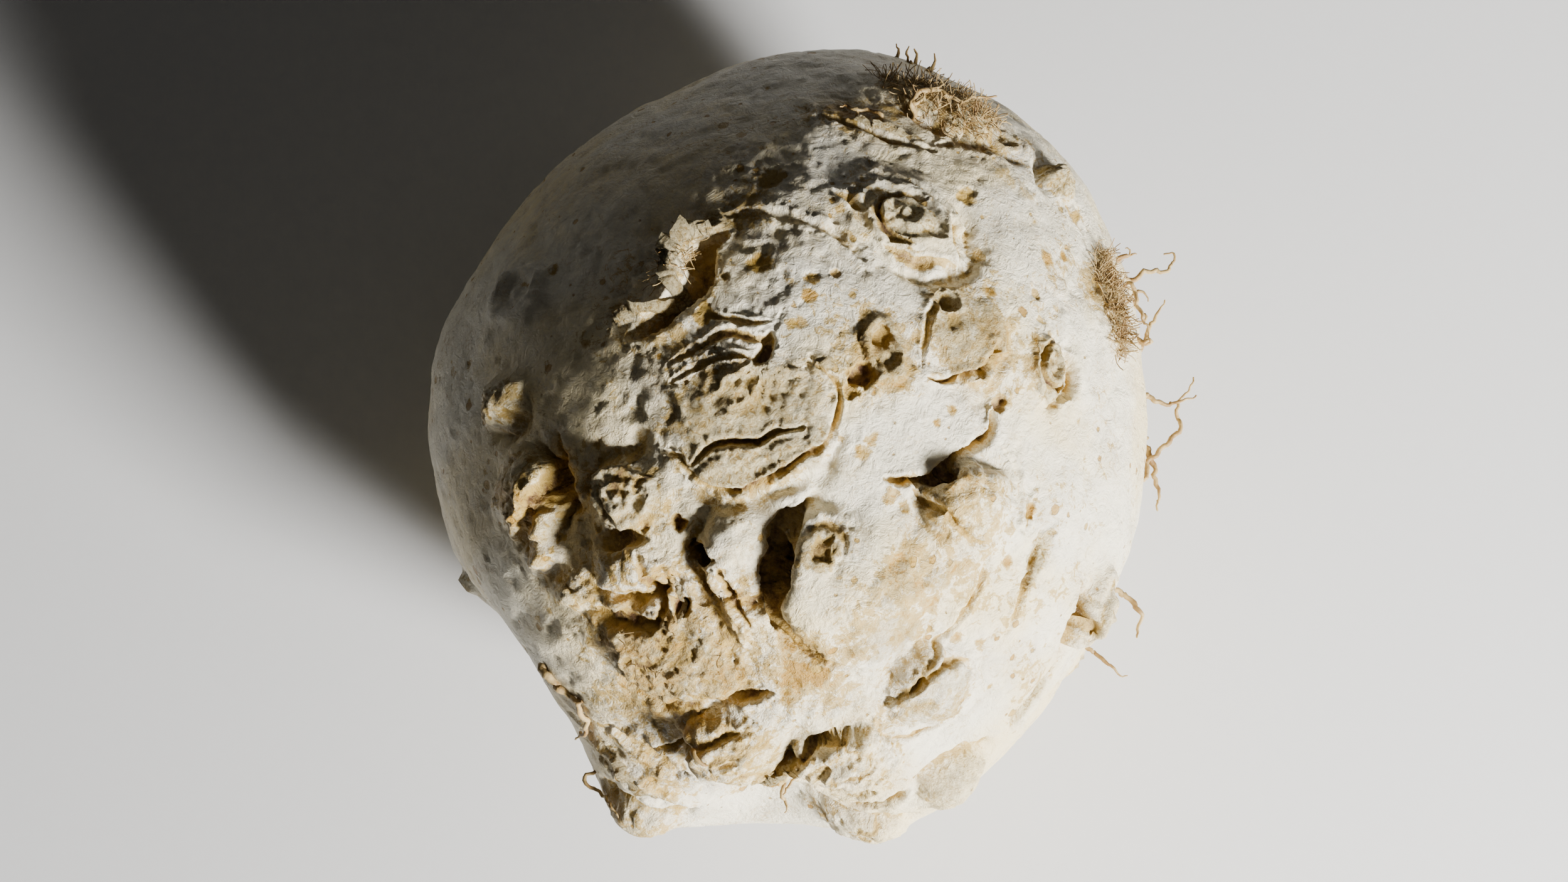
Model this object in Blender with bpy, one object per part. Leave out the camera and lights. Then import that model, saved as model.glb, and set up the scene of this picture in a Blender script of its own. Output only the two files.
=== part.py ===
"""A celeriac root with its thin side roots, standing on its trimmed leaf crown.

+Z is up, and the root end faces up and towards -Y. The body is one grown piece. The hair-thin
side roots are named by the place where they leave it. Directions on the body are an azimuth,
counted from +X towards +Y, and an elevation above the body's middle.
"""

from dataclasses import dataclass
from math import cos, pi, radians, sin
from random import Random

import bmesh
import bpy
import numpy as np
from mathutils import Matrix, Quaternion, Vector, noise
from mathutils.bvhtree import BVHTree

MM = 0.001

# Driving dimensions, in millimetres.
HALF_WIDTH = 57.0
HALF_LENGTH = 62.0
HALF_HEIGHT = 53.0
CROWN_CUT_DEPTH = 50.0  # the flat crown cut, below the body's middle
SKIN_WAVE = 1.1  # height of the broad, soft waves of the skin
WAVE_LENGTH = 21.0
MOAT_WIDTH = 1.3  # of the crease beside a knob
KNOB_SQUARENESS = 3.2  # the higher, the flatter a knob's top and the steeper its brink
CLAY_SUBDIVISIONS = 7
BODY_TRIANGLES = 7600

ROOTLET_DIAMETER = 0.7
ROOTLET_GAP = 0.35  # between the skin and the first point of a side root
ROOTLET_STEP = 1.0  # between the points of a side root

SKIN_COLOUR = (0.80, 0.74, 0.63, 1.0)
ROOTLET_COLOUR = (0.52, 0.37, 0.20, 1.0)


@dataclass
class Lobe:
    """A broad swelling (or hollow, if its height is negative) of the whole body."""

    azimuth: float
    elevation: float
    spread: float
    height: float


@dataclass
class Growth:
    """A knob, root scar or pit. Lengths are millimetres, and half_long lies along turn, an angle
    about the skin's outward direction. The moat is the crease beside it, deepest at moat_at."""

    name: str
    azimuth: float
    elevation: float
    half_long: float
    half_wide: float
    height: float
    turn: float = 0.0
    dish: float = 0.0
    moat: float = 0.0
    moat_at: float = 0.0
    lean: float = 0.0


LOBES = (
    Lobe(50, 12, 40, 4.4),
    Lobe(118, 20, 30, -3.2),
    Lobe(222, 4, 19, -6.0),
    Lobe(248, 4, 10, 4.4),
    Lobe(268, 12, 10, -7.0),
    Lobe(289, 8, 13, 2.4),
    Lobe(300, -30, 25, 0.8),
    Lobe(100, -25, 30, 2.0),
)

UPPER_GROWTHS = (
    Growth("eye_scar", 241, 81, 11.5, 8.8, 1.5, turn=14, dish=1.0, moat=1.0, moat_at=-70),
    Growth("great_knob", 289, 57, 11.0, 9.8, 5.6, turn=-20, moat=3.4, moat_at=172, lean=2.6),
    Growth("right_knob", 326, 55, 8.0, 7.0, 5.0, turn=-20, moat=1.0, moat_at=125, lean=1.8),
    Growth("ring_collar", 55, 59, 9.6, 6.6, 2.2, turn=-32, moat=1.6, moat_at=-40),
    Growth("ring_disc", 53, 60, 5.2, 3.9, 0.7, turn=-30, moat=1.3, moat_at=140),
    Growth("shelf_plate", 13, 61, 5.0, 5.6, 2.0, turn=15, moat=0.8, moat_at=-70, lean=0.5),
    Growth("shelf_crater", 26, 63, 2.7, 2.5, 0.9, dish=1.6),
    Growth("stub_scar", 5, 48, 2.7, 3.9, 1.9, turn=8, dish=0.9, moat=1.5, moat_at=-10),
    Growth("cave_lip", 133, 66, 5.2, 2.4, 2.0, turn=55, lean=0.8, moat_at=150),
    Growth("pitted_scar", 14, 75, 3.4, 6.2, 0.9, turn=14, dish=1.5),
    Growth("left_knob", 216, 61, 5.8, 5.4, 3.0, moat=1.6, moat_at=120),
    Growth("low_left_knob", 229, 53, 5.8, 3.6, 3.4, turn=-10, moat=1.8, moat_at=-80),
    Growth("far_left_knob", 203, 45, 6.2, 6.6, 5.0, turn=40, moat=2.4, moat_at=20, lean=1.0),
    Growth("far_left_bud", 182, 43, 4.2, 4.0, 3.6, moat=1.6, moat_at=-60),
    Growth("left_sliver", 215, 43, 3.8, 2.2, 2.8, turn=35),
    Growth("left_bud", 224, 45, 3.6, 3.0, 2.8),
    Growth("middle_knob", 253, 64, 4.4, 6.2, 3.4, turn=-20, moat=1.6, moat_at=200),
    Growth("torn_patch", 246, 44, 10.5, 7.5, 1.6, turn=-20, moat=1.0, moat_at=-90),
    Growth("foot_knob", 262, 31, 6.6, 6.6, 4.2, moat=1.6, moat_at=165, lean=1.0),
    Growth("layered_knob", 281, 29, 8.2, 6.4, 4.0, turn=-8, moat=1.2, moat_at=140, lean=1.0),
    Growth("round_knob", 297, 36, 6.6, 6.8, 2.6, moat=0.8, moat_at=140),
    Growth("edge_knob", 295, 16, 6.0, 4.8, 3.4, turn=25, moat=1.8, moat_at=100),
    Growth("low_edge_knob", 281, 8, 7.4, 4.6, 2.6, moat=2.6, moat_at=90),
    Growth("corner_knob", 249, 5, 7.0, 5.0, 2.6, turn=10, moat=2.6, moat_at=60),
    Growth("side_knob", 328, 20, 4.6, 6.4, 3.8, turn=-15, moat=2.6, moat_at=-150),
    Growth("side_hollow", 312, 17, 5.6, 3.2, -2.2, turn=40),
    Growth("small_pit", 327, 40, 2.0, 4.8, -1.6, turn=-22),
    Growth("shoulder_patch", 62, 33, 10.0, 6.0, 1.5, turn=-25, moat=1.4, moat_at=-90),
    Growth("shoulder_oval", 50, 32, 3.6, 2.6, 1.0, turn=-25, dish=1.0, moat=1.0, moat_at=-120),
    Growth("shoulder_stub", 40, 29, 3.2, 3.0, 2.6, turn=-40, moat=1.4, moat_at=150),
    Growth("hairy_patch", 19, 27, 3.8, 8.6, 0.9, turn=6),
    Growth("faint_ring", 159, 41, 5.4, 4.6, 0.9, dish=1.0),
)


def smooth_step(low, high, values):
    share = np.clip((values - low) / (high - low), 0.0, 1.0)
    return share * share * (3.0 - 2.0 * share)


def direction(azimuth, elevation):
    az, el = radians(azimuth), radians(elevation)
    return Vector((cos(el) * cos(az), cos(el) * sin(az), sin(el)))


def skin_axes(outward, turn=0.0):
    """Two directions along the skin: the body's +X and +Y, tipped over to lie across outward."""
    tip = Vector((0, 0, 1)).rotation_difference(outward)
    tip = Quaternion(outward, radians(turn)) @ tip
    return tip @ Vector((1, 0, 0)), tip @ Vector((0, 1, 0))


def lower_growths():
    """Root scars and small knobs round the sides, and on the flanks that taper to the crown."""
    chance = Random(7)
    bands = ((-8, 9, 5.0), (-28, 11, 4.4))
    made = []
    for band, (elevation, count, size) in enumerate(bands):
        for i in range(count):
            azimuth = (i + 0.5 * band) * 360 / count + chance.uniform(-9, 9)
            scale = size * chance.uniform(0.6, 1.15)
            made.append(
                Growth(
                    f"flank_{band}_{i}",
                    azimuth,
                    elevation + chance.uniform(-6, 6),
                    scale,
                    scale * chance.uniform(0.7, 1.0),
                    chance.uniform(0.8, 2.4),
                    turn=chance.uniform(-40, 40),
                    dish=chance.choice((0.0, 1.0, 1.6)),
                    moat=chance.uniform(0.3, 1.4),
                    moat_at=chance.uniform(0, 360),
                )
            )
    return made


def noise_at(places, size, seed=0, octaves=3):
    """Fractal noise, about -1 to 1, at each place. size is the length of its coarsest bumps."""
    start = Vector((seed * 7.3, seed * 3.1, seed * 5.7))
    return np.array([noise.fractal(Vector(p) / size + start, 1.0, 2.0, octaves) for p in places])


def body_radius(directions):
    """Distance from the body's middle to the skin, before the growths, for unit directions."""
    halves = np.array((HALF_WIDTH, HALF_LENGTH, HALF_HEIGHT))
    radius = 1.0 / np.linalg.norm(directions / halves, axis=1)
    for lobe in LOBES:
        facing = directions @ np.array(direction(lobe.azimuth, lobe.elevation))
        angle = np.degrees(np.arccos(np.clip(facing, -1.0, 1.0)))
        radius += lobe.height * np.exp(-((angle / lobe.spread) ** 2))
    return radius + SKIN_WAVE * noise_at(directions * HALF_WIDTH, WAVE_LENGTH)


def raise_growth(points, growth):
    """Moves the points round one growth: a dome, dished or not, which is steep beside its moat
    and runs out softly into the skin elsewhere."""
    outward = direction(growth.azimuth, growth.elevation)
    along, across = skin_axes(outward, growth.turn)
    facing = points @ np.array(outward)
    side_on = np.linalg.norm(points - np.outer(facing, outward), axis=1)
    seat = points[np.argmin(np.where(facing > 0, side_on, np.inf))]
    offset = points - seat
    x = offset @ np.array(along) / growth.half_long
    y = offset @ np.array(across) / growth.half_wide
    near = (np.hypot(x, y) < 2.0) & (facing > 0)
    ragged = 1.0 + 0.2 * noise_at(points[near], 0.8 * growth.half_long, len(growth.name))
    x, y = x[near] * ragged, y[near] * ragged
    reach = np.hypot(x, y)
    moat_at = radians(growth.moat_at - growth.turn)
    side = (x * cos(moat_at) + y * sin(moat_at)) / np.maximum(reach, 1e-6)
    creased = smooth_step(-0.1, 0.9, side) if growth.moat else 0.0 * side
    steep = np.sqrt(np.clip(1.0 - reach**KNOB_SQUARENESS, 0.0, 1.0))
    soft = 1.0 - smooth_step(0.0, 1.45, reach)
    dome = creased * steep + (1.0 - creased) * soft
    dish = np.clip(1.0 - (reach / 0.72) ** 2, 0.0, 1.0)
    moat_width = MOAT_WIDTH / (growth.half_long * growth.half_wide) ** 0.5
    moat = creased * np.exp(-(((reach - 1.08) / moat_width) ** 2))
    lift = growth.height * dome - growth.dish * dish - growth.moat * moat
    leaning = np.array(along) * cos(moat_at) + np.array(across) * sin(moat_at)
    points[near] += np.outer(lift, outward) + np.outer(growth.lean * dome, leaning)


def crown_ridges(points):
    """Level ridges where leaf stalks sat, on the flanks near the crown."""
    height = points[:, 2]
    turn = np.arctan2(points[:, 1], points[:, 0])
    wobble = 1.6 * np.sin(3 * turn) + 1.1 * np.sin(7 * turn + 1.0)
    ridge = np.clip(np.sin((height + wobble) * 2 * pi / 7.0), 0.0, 1.0)
    band = smooth_step(-20.0, -34.0, height) * smooth_step(-0.5, 0.3, np.sin(4 * turn + height / 6))
    outward = points / np.linalg.norm(points, axis=1)[:, None]
    points += outward * (1.1 * ridge * band)[:, None]


def make_material(name, colour, roughness):
    material = bpy.data.materials.new(name)
    material.use_nodes = True
    shader = material.node_tree.nodes["Principled BSDF"]
    shader.inputs["Base Color"].default_value = colour
    shader.inputs["Roughness"].default_value = roughness
    shader.inputs["Metallic"].default_value = 0.0
    return material


def make_body(collection, material):
    """The swollen root: a ball of fine clay pushed into shape, thinned out and cut flat below."""
    clay = bpy.data.meshes.new("clay")
    ball = bmesh.new()
    bmesh.ops.create_icosphere(ball, subdivisions=CLAY_SUBDIVISIONS, radius=1.0)
    ball.to_mesh(clay)
    ball.free()
    directions = np.zeros(len(clay.vertices) * 3)
    clay.vertices.foreach_get("co", directions)
    directions = directions.reshape(-1, 3)
    directions /= np.linalg.norm(directions, axis=1)[:, None]
    points = directions * body_radius(directions)[:, None]
    crown_ridges(points)
    for growth in (*UPPER_GROWTHS, *lower_growths()):
        raise_growth(points, growth)
    clay.vertices.foreach_set("co", (points * MM).ravel())
    clay.update()

    rough = bpy.data.objects.new("clay", clay)
    collection.objects.link(rough)
    thin = rough.modifiers.new("thin out", "DECIMATE")
    thin.ratio = BODY_TRIANGLES / len(clay.polygons)
    graph = bpy.context.evaluated_depsgraph_get()
    mesh = bpy.data.meshes.new_from_object(rough.evaluated_get(graph))
    bpy.data.objects.remove(rough)

    cut = bmesh.new()
    cut.from_mesh(mesh)
    bmesh.ops.bisect_plane(
        cut,
        geom=cut.verts[:] + cut.edges[:] + cut.faces[:],
        dist=1e-6,
        plane_co=(0, 0, -CROWN_CUT_DEPTH * MM),
        plane_no=(0, 0, -1),
        clear_outer=True,
    )
    rim = [edge for edge in cut.edges if edge.is_boundary]
    bmesh.ops.edgeloop_fill(cut, edges=rim)
    bmesh.ops.recalc_face_normals(cut, faces=cut.faces)
    cut.to_mesh(mesh)
    cut.free()

    mesh.materials.append(material)
    mesh.shade_smooth()
    mesh.set_sharp_from_angle(angle=radians(50))
    body = bpy.data.objects.new("celeriac_root", mesh)
    collection.objects.link(body)
    return body


def off_the_skin(point, skin):
    """The point itself, or the place just off the skin if it is too close to it or inside it."""
    seat, outward, _, _ = skin.find_nearest(point)
    clear = (ROOTLET_GAP + ROOTLET_DIAMETER / 2) * MM
    if (point - seat).dot(outward) < clear:
        return seat + outward * clear
    return point


def rootlet_path(skin, height, places, resting=False):
    """Points of one side root along its route. It starts just off the skin, and stays off it. A
    resting one lies over the skin where its route would run below."""
    corners = [Vector((x, y, height)) * MM for x, y in places]
    if resting:
        for point in corners:
            below = skin.ray_cast(Vector((point.x, point.y, 1.0)), Vector((0, 0, -1)))[0]
            point.z = max(point.z, below.z + ROOTLET_DIAMETER * MM) if below else point.z
    first = skin.find_nearest(corners[0])[0]
    corners.insert(0, off_the_skin(first, skin))
    path = [corners[0]]
    for a, b in zip(corners, corners[1:]):
        steps = max(1, round((b - a).length / (ROOTLET_STEP * MM)))
        path += [off_the_skin(a.lerp(b, i / steps), skin) for i in range(1, steps + 1)]
    kept = path[:1]
    kept += [point for point in path[1:] if (point - path[0]).length > 0.6 * ROOTLET_STEP * MM]
    return kept


def make_rootlet(collection, material, name, path):
    """One side root, a thin round tube along its path."""
    curve = bpy.data.curves.new(name, "CURVE")
    curve.dimensions = "3D"
    curve.bevel_depth = ROOTLET_DIAMETER / 2 * MM
    curve.bevel_resolution = 1
    curve.use_fill_caps = True
    spline = curve.splines.new("POLY")
    spline.points.add(len(path) - 1)
    for point, place in zip(spline.points, path):
        point.co = (*place, 1.0)
    curve.materials.append(material)
    rootlet = bpy.data.objects.new(name, curve)
    collection.objects.link(rootlet)
    return rootlet


# The side roots by place. Each is a height above the body's middle, and the places that the root
# passes as seen from above, both in millimetres.
ROOTLETS = {
    "rootlet_right_shoulder": (
        (18, ((52, 25.5), (53, 26), (54, 26), (55, 26.5))),
        (12, ((53.5, 23.5), (57, 25), (60, 25), (61.5, 26), (62.3, 27.5), (61.5, 28.3))),
        (20, ((53.5, 21), (54.5, 17), (55.5, 15), (56, 11.6))),
        (11, ((54.5, 20), (56, 19.5), (57.5, 18), (58, 16.5))),
        (7, ((55.5, 13.5), (58, 15.5), (58.5, 17), (60, 20), (61, 21.5))),
    ),
    "rootlet_right_side": (
        (8, ((56, 6), (58, 5.5), (59.5, 4.5), (61.5, 5), (65.5, 6))),
        (5, ((57.5, -7), (59, -3), (61.5, -1), (63, 0.5), (63.5, 2.5), (63, 3.6))),
        (3, ((57.5, -0.5), (58.5, -2.5), (59, -5), (59.5, -8.5), (59.5, -12))),
    ),
    "rootlet_right_foot": (
        (2, ((54, -25), (55.5, -26.5), (56.5, -28.5), (56.5, -30), (56, -32))),
        (0, ((52, -36), (53.4, -37.6), (54.6, -38))),
    ),
    "rootlet_top_edge": (
        (16, ((18, 60.5), (18, 61.5))),
        (16, ((21, 59), (21, 60.5))),
        (16, ((23, 57), (24, 58), (24, 60))),
        (18, ((20, 57.5), (19.4, 59), (19.6, 60.4))),
    ),
    "rootlet_shoulder": (
        (34, ((19, 41.5), (20, 44), (22.5, 46), (24.5, 45), (27, 45), (31.5, 46)), True),
        (36, ((18.6, 47), (19, 48.6), (18.4, 50)), True),
        (36, ((14, 40.5), (12, 41.5), (10.5, 41.5), (8, 42)), True),
    ),
    "rootlet_left_foot": (
        (14, ((-30, -43), (-29, -45.5), (-30, -48)), True),
        (18, ((-35.5, -38), (-34, -39.5), (-32, -41)), True),
        (6, ((-30.5, -53.5), (-28.5, -56), (-26, -58.5), (-25, -61)), True),
    ),
    "rootlet_front": (
        (30, ((-12.5, -50), (-11.5, -51.5), (-10.5, -52)), True),
        (26, ((1.5, -52.5), (1, -54.5), (-0.5, -56)), True),
    ),
}


def stand_on_origin(objects):
    """Moves everything so that the whole part stands on z = 0, centred over the origin."""
    bpy.context.view_layer.update()
    graph = bpy.context.evaluated_depsgraph_get()
    corners = []
    for thing in objects:
        mesh = thing.evaluated_get(graph).to_mesh()
        places = np.zeros(len(mesh.vertices) * 3)
        mesh.vertices.foreach_get("co", places)
        corners.append(places.reshape(-1, 3))
    corners = np.concatenate(corners)
    low, high = corners.min(axis=0), corners.max(axis=0)
    shift = Vector((-(low[0] + high[0]) / 2, -(low[1] + high[1]) / 2, -low[2]))
    for thing in objects:
        thing.data.transform(Matrix.Translation(shift))


def main():
    for thing in list(bpy.data.objects):
        bpy.data.objects.remove(thing)
    collection = bpy.data.collections.new("celeriac")
    bpy.context.scene.collection.children.link(collection)
    skin_material = make_material("celeriac_skin", SKIN_COLOUR, 0.62)
    rootlet_material = make_material("dry_rootlet", ROOTLET_COLOUR, 0.75)

    body = make_body(collection, skin_material)
    bpy.context.view_layer.update()
    skin = BVHTree.FromObject(body, bpy.context.evaluated_depsgraph_get())
    parts = [body]
    for place, strands in ROOTLETS.items():
        for number, strand in enumerate(strands, 1):
            path = rootlet_path(skin, *strand)
            parts.append(make_rootlet(collection, rootlet_material, f"{place}_{number}", path))
    stand_on_origin(parts)


main()
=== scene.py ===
"""The looks of a celeriac root: its gnarled skin, torn scars and dry side roots, on a studio floor.

Lengths are millimetres from the body's middle until a mesh is made, and metres from then on. Places
on the upper side are read from a flat map: x to the east and y to the north of its top, measured
along the skin.
"""

from dataclasses import dataclass
from functools import cache
from math import cos, hypot, pi, radians, sin
from random import Random

import bmesh
import bpy
import numpy as np
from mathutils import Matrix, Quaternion, Vector, noise
from mathutils.bvhtree import BVHTree


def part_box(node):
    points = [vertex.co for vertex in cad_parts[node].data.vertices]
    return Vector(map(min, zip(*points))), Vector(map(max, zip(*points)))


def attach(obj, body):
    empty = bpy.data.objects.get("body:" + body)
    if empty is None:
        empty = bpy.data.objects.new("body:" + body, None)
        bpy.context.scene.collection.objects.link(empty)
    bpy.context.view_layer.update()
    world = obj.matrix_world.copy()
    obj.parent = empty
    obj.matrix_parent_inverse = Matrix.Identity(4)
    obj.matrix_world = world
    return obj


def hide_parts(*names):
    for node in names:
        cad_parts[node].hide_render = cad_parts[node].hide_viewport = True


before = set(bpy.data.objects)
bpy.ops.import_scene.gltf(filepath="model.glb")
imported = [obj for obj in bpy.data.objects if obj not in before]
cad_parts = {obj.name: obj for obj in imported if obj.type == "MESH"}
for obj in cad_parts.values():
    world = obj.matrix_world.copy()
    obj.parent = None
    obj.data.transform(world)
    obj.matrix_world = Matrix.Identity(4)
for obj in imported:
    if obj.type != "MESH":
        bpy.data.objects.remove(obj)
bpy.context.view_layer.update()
BODY_LOW, BODY_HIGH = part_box("celeriac_root")

bl_info = {
    "name": "Celeriac Root",
    "version": (1, 0, 0),
    "blender": (4, 5, 0),
    "location": "View3D > Sidebar > Celeriac",
    "description": "Builds a gnarled celeriac root with its dry side roots on a studio floor",
    "category": "Add Mesh",
}

MM = 0.001
MILLIS = (1000.0, 1000.0, 1000.0)
HALF_WIDTH = 57.0
HALF_LENGTH = 62.0
HALF_HEIGHT = 53.0
CROWN_CUT_DEPTH = 50.0
SKIN_WAVE = 1.1
WAVE_LENGTH = 21.0
BALL_SUBDIVISIONS = 6
SEEN_HEIGHT = -0.15
MOAT_WIDTH = 1.3
SPOT_SPREAD = 1.25
SPOT_STAIN = 1.4
KNOB_SQUARENESS = 3.2
PEEL_ROWS = 7
PEEL_DEPTH = 0.0006
PEEL_THICKNESS = 0.00022
ROOT_DEPTH = 0.0012
REST_GAP = 0.0008
FLANK_SPECKS = 420
CROWN_RIDGE_STEP = 7.0
CROWN_RING_STEP = 3.6
FLOOR_SIZE = 6.0
FLOOR_DROP = 0.0002
ROOM_COLOUR = (1.0, 0.98, 0.95, 1.0)
ROOM_STRENGTH = 0.025
# groove is dark paint in cracks, moats and valleys, partly the skin's own brown and partly painted
# shade
LAYERS = ("groove", "tissue", "stain", "grime", "crown", "hair", "gnarl")


@dataclass
class Lobe:
    """A broad swelling (or hollow, if its height is negative) of the whole body."""

    azimuth: float
    elevation: float
    spread: float
    height: float


@dataclass
class Growth:
    """A knob, root scar or pit. half_long lies along turn, an angle about the skin's outward
    direction. The moat is the crease beside it, deepest at moat_at."""

    name: str
    azimuth: float
    elevation: float
    half_long: float
    half_wide: float
    height: float
    turn: float = 0.0
    dish: float = 0.0
    moat: float = 0.0
    moat_at: float = 0.0
    lean: float = 0.0


@dataclass
class Finish:
    """How a growth's surface is broken up. Heights are millimetres, and tissue, ochre and grime
    are shares from 0 to 1."""

    tissue: float = 0.0
    tissue_reach: float = 0.7
    rings: float = 0.0
    fibres: float = 0.0
    gnarl: float = 0.0
    ochre: float = 0.0
    grime: float = 0.0
    hair: float = 0.0


@dataclass
class Mark:
    """A fold, crack or slot along a line on the map. A negative height carves, and slide draws the
    skin on its right-hand side over it. Its brown is dark paint along its bottom, partly its own
    brown and partly painted shade."""

    points: tuple
    width: float
    height: float
    brown: float = 0.0
    slide: float = 0.0


@dataclass
class Region:
    """A wide, soft patch of the map where the skin is gnarled, stained or grimy."""

    x: float
    y: float
    radius: float
    gnarl: float = 0.0
    stain: float = 0.0
    grime: float = 0.0


@dataclass
class Fan:
    """Fine wrinkles that spread from a point on the map. They point towards an angle."""

    x: float
    y: float
    radius: float
    towards: float
    spread: float
    height: float
    brown: float = 0.4
    tissue: float = 0.0


@dataclass
class Spot:
    """A round pit, hole or stain on the map."""

    x: float
    y: float
    radius: float
    height: float = 0.0
    brown: float = 0.0
    tissue: float = 0.0
    stain: float = 0.0
    grime: float = 0.0


@dataclass
class Route:
    """The way one side root runs: its height above the body's middle, its thickness and its
    places seen from above."""

    height: float
    thickness: float
    places: tuple


@dataclass
class Tuft:
    """Side roots that make one piece and stand for the count solids called node_1 and up. Those
    that rest are kept just clear of the skin."""

    node: str
    count: int
    routes: tuple
    resting: bool = False


@dataclass
class Peel:
    """A strip of loose skin along a line on the map. It curls to the left of the line if side is
    1 and to the right if it is -1."""

    points: tuple
    width: float
    curl: float
    side: int


@dataclass
class Fineness:
    """Where one level of refinement cuts the skin finer: within a margin of marks and spots, over
    a reach of each growth that is rough enough, over a share of each region that is gnarled
    enough, and round spots that are brown enough."""

    margin: float
    rough: float
    reach: float
    gnarl: float
    share: float
    brown: float


FINENESS = {
    1: Fineness(margin=1.9, rough=0.12, reach=1.25, gnarl=0.11, share=1.0, brown=-1.0),
    2: Fineness(margin=0.8, rough=0.42, reach=0.8, gnarl=0.42, share=0.5, brown=0.4),
}

LOBES = (
    Lobe(50, 12, 40, 4.4),
    Lobe(118, 20, 30, -3.2),
    Lobe(222, 4, 19, -6.0),
    Lobe(248, 4, 10, 4.4),
    Lobe(268, 12, 10, -7.0),
    Lobe(289, 8, 13, 2.4),
    Lobe(300, -30, 25, 0.8),
    Lobe(100, -25, 30, 2.0),
)

UPPER_GROWTHS = (
    Growth("eye_scar", 241, 81, 11.5, 8.8, 1.5, turn=14, dish=1, moat=1, moat_at=-70),
    Growth("great_knob", 289, 57, 11, 9.8, 5.6, turn=-20, moat=3.4, moat_at=172, lean=2.6),
    Growth("right_knob", 326, 55, 8, 7, 5, turn=-20, moat=1, moat_at=125, lean=1.8),
    Growth("ring_collar", 55, 59, 9.8, 7, 2.4, turn=-32, dish=0.8, moat=1.4, moat_at=-40),
    Growth("ring_disc", 53, 60, 5.2, 3.9, 0.7, turn=-30, moat=0.8, moat_at=140),
    Growth("shelf_plate", 13, 61, 5.6, 6.6, 1.6, turn=15, moat=0.8, moat_at=-70, lean=0.5),
    Growth("shelf_crater", 26, 63, 2.7, 2.5, 0.9, dish=1.6),
    Growth("stub_scar", 5, 48, 3.2, 4.6, 2.2, turn=8, dish=1.1, moat=1.8, moat_at=-10),
    Growth("cave_lip", 133, 66, 5.2, 2.4, 2, turn=55, moat_at=150, lean=0.8),
    Growth("pitted_scar", 14, 75, 3.4, 6.2, 0.9, turn=14, dish=1.5),
    Growth("left_knob", 216, 61, 5.8, 5.4, 3, moat=1.6, moat_at=120),
    Growth("low_left_knob", 229, 53, 5.8, 3.6, 3.4, turn=-10, moat=1.8, moat_at=-80),
    Growth("far_left_knob", 203, 45, 6.2, 6.6, 5, turn=40, moat=2.4, moat_at=20, lean=1),
    Growth("far_left_bud", 182, 43, 4.2, 4, 3.6, moat=1.6, moat_at=-60),
    Growth("left_sliver", 215, 43, 3.8, 2.2, 2.8, turn=35),
    Growth("left_bud", 224, 45, 3.6, 3, 2.8),
    Growth("middle_knob", 253, 64, 4.4, 6.2, 3.4, turn=-20, moat=1.6, moat_at=200),
    Growth("torn_patch", 246, 44, 10.5, 7.5, 1.6, turn=-20, moat=1, moat_at=-90),
    Growth("foot_knob", 262, 31, 6.6, 6.6, 4.2, moat=1.6, moat_at=165, lean=1),
    Growth("layered_knob", 281, 29, 8.2, 6.4, 4, turn=-8, moat=0.5, moat_at=140, lean=0.8),
    Growth("round_knob", 297, 36, 6.6, 6.8, 3.2, moat=0.9, moat_at=140),
    Growth("edge_knob", 295, 16, 6, 4.8, 3.4, turn=25, moat=1.8, moat_at=100),
    Growth("low_edge_knob", 281, 8, 7.4, 4.6, 2.6, moat=2.6, moat_at=90),
    Growth("corner_knob", 249, 5, 7, 5, 2.6, turn=10, moat=2.6, moat_at=60),
    Growth("side_knob", 328, 20, 4.6, 6.4, 3.8, turn=-15, moat=2.6, moat_at=-150),
    Growth("side_hollow", 312, 17, 5.6, 3.2, -2.2, turn=40),
    Growth("small_pit", 327, 40, 2, 4.8, -1.6, turn=-22),
    Growth("shoulder_patch", 62, 33, 10, 6, 1.5, turn=-25, moat=1.4, moat_at=-90),
    Growth("shoulder_oval", 50, 32, 3.6, 2.6, 1, turn=-25, dish=1, moat=1, moat_at=-120),
    Growth("shoulder_stub", 40, 29, 3.2, 3, 2.6, turn=-40, moat=1.4, moat_at=150),
    Growth("hairy_patch", 19, 27, 3.8, 8.6, 0.9, turn=6),
    Growth("faint_ring", 159, 41, 5.4, 4.6, 0.9, dish=1),
)

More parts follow.
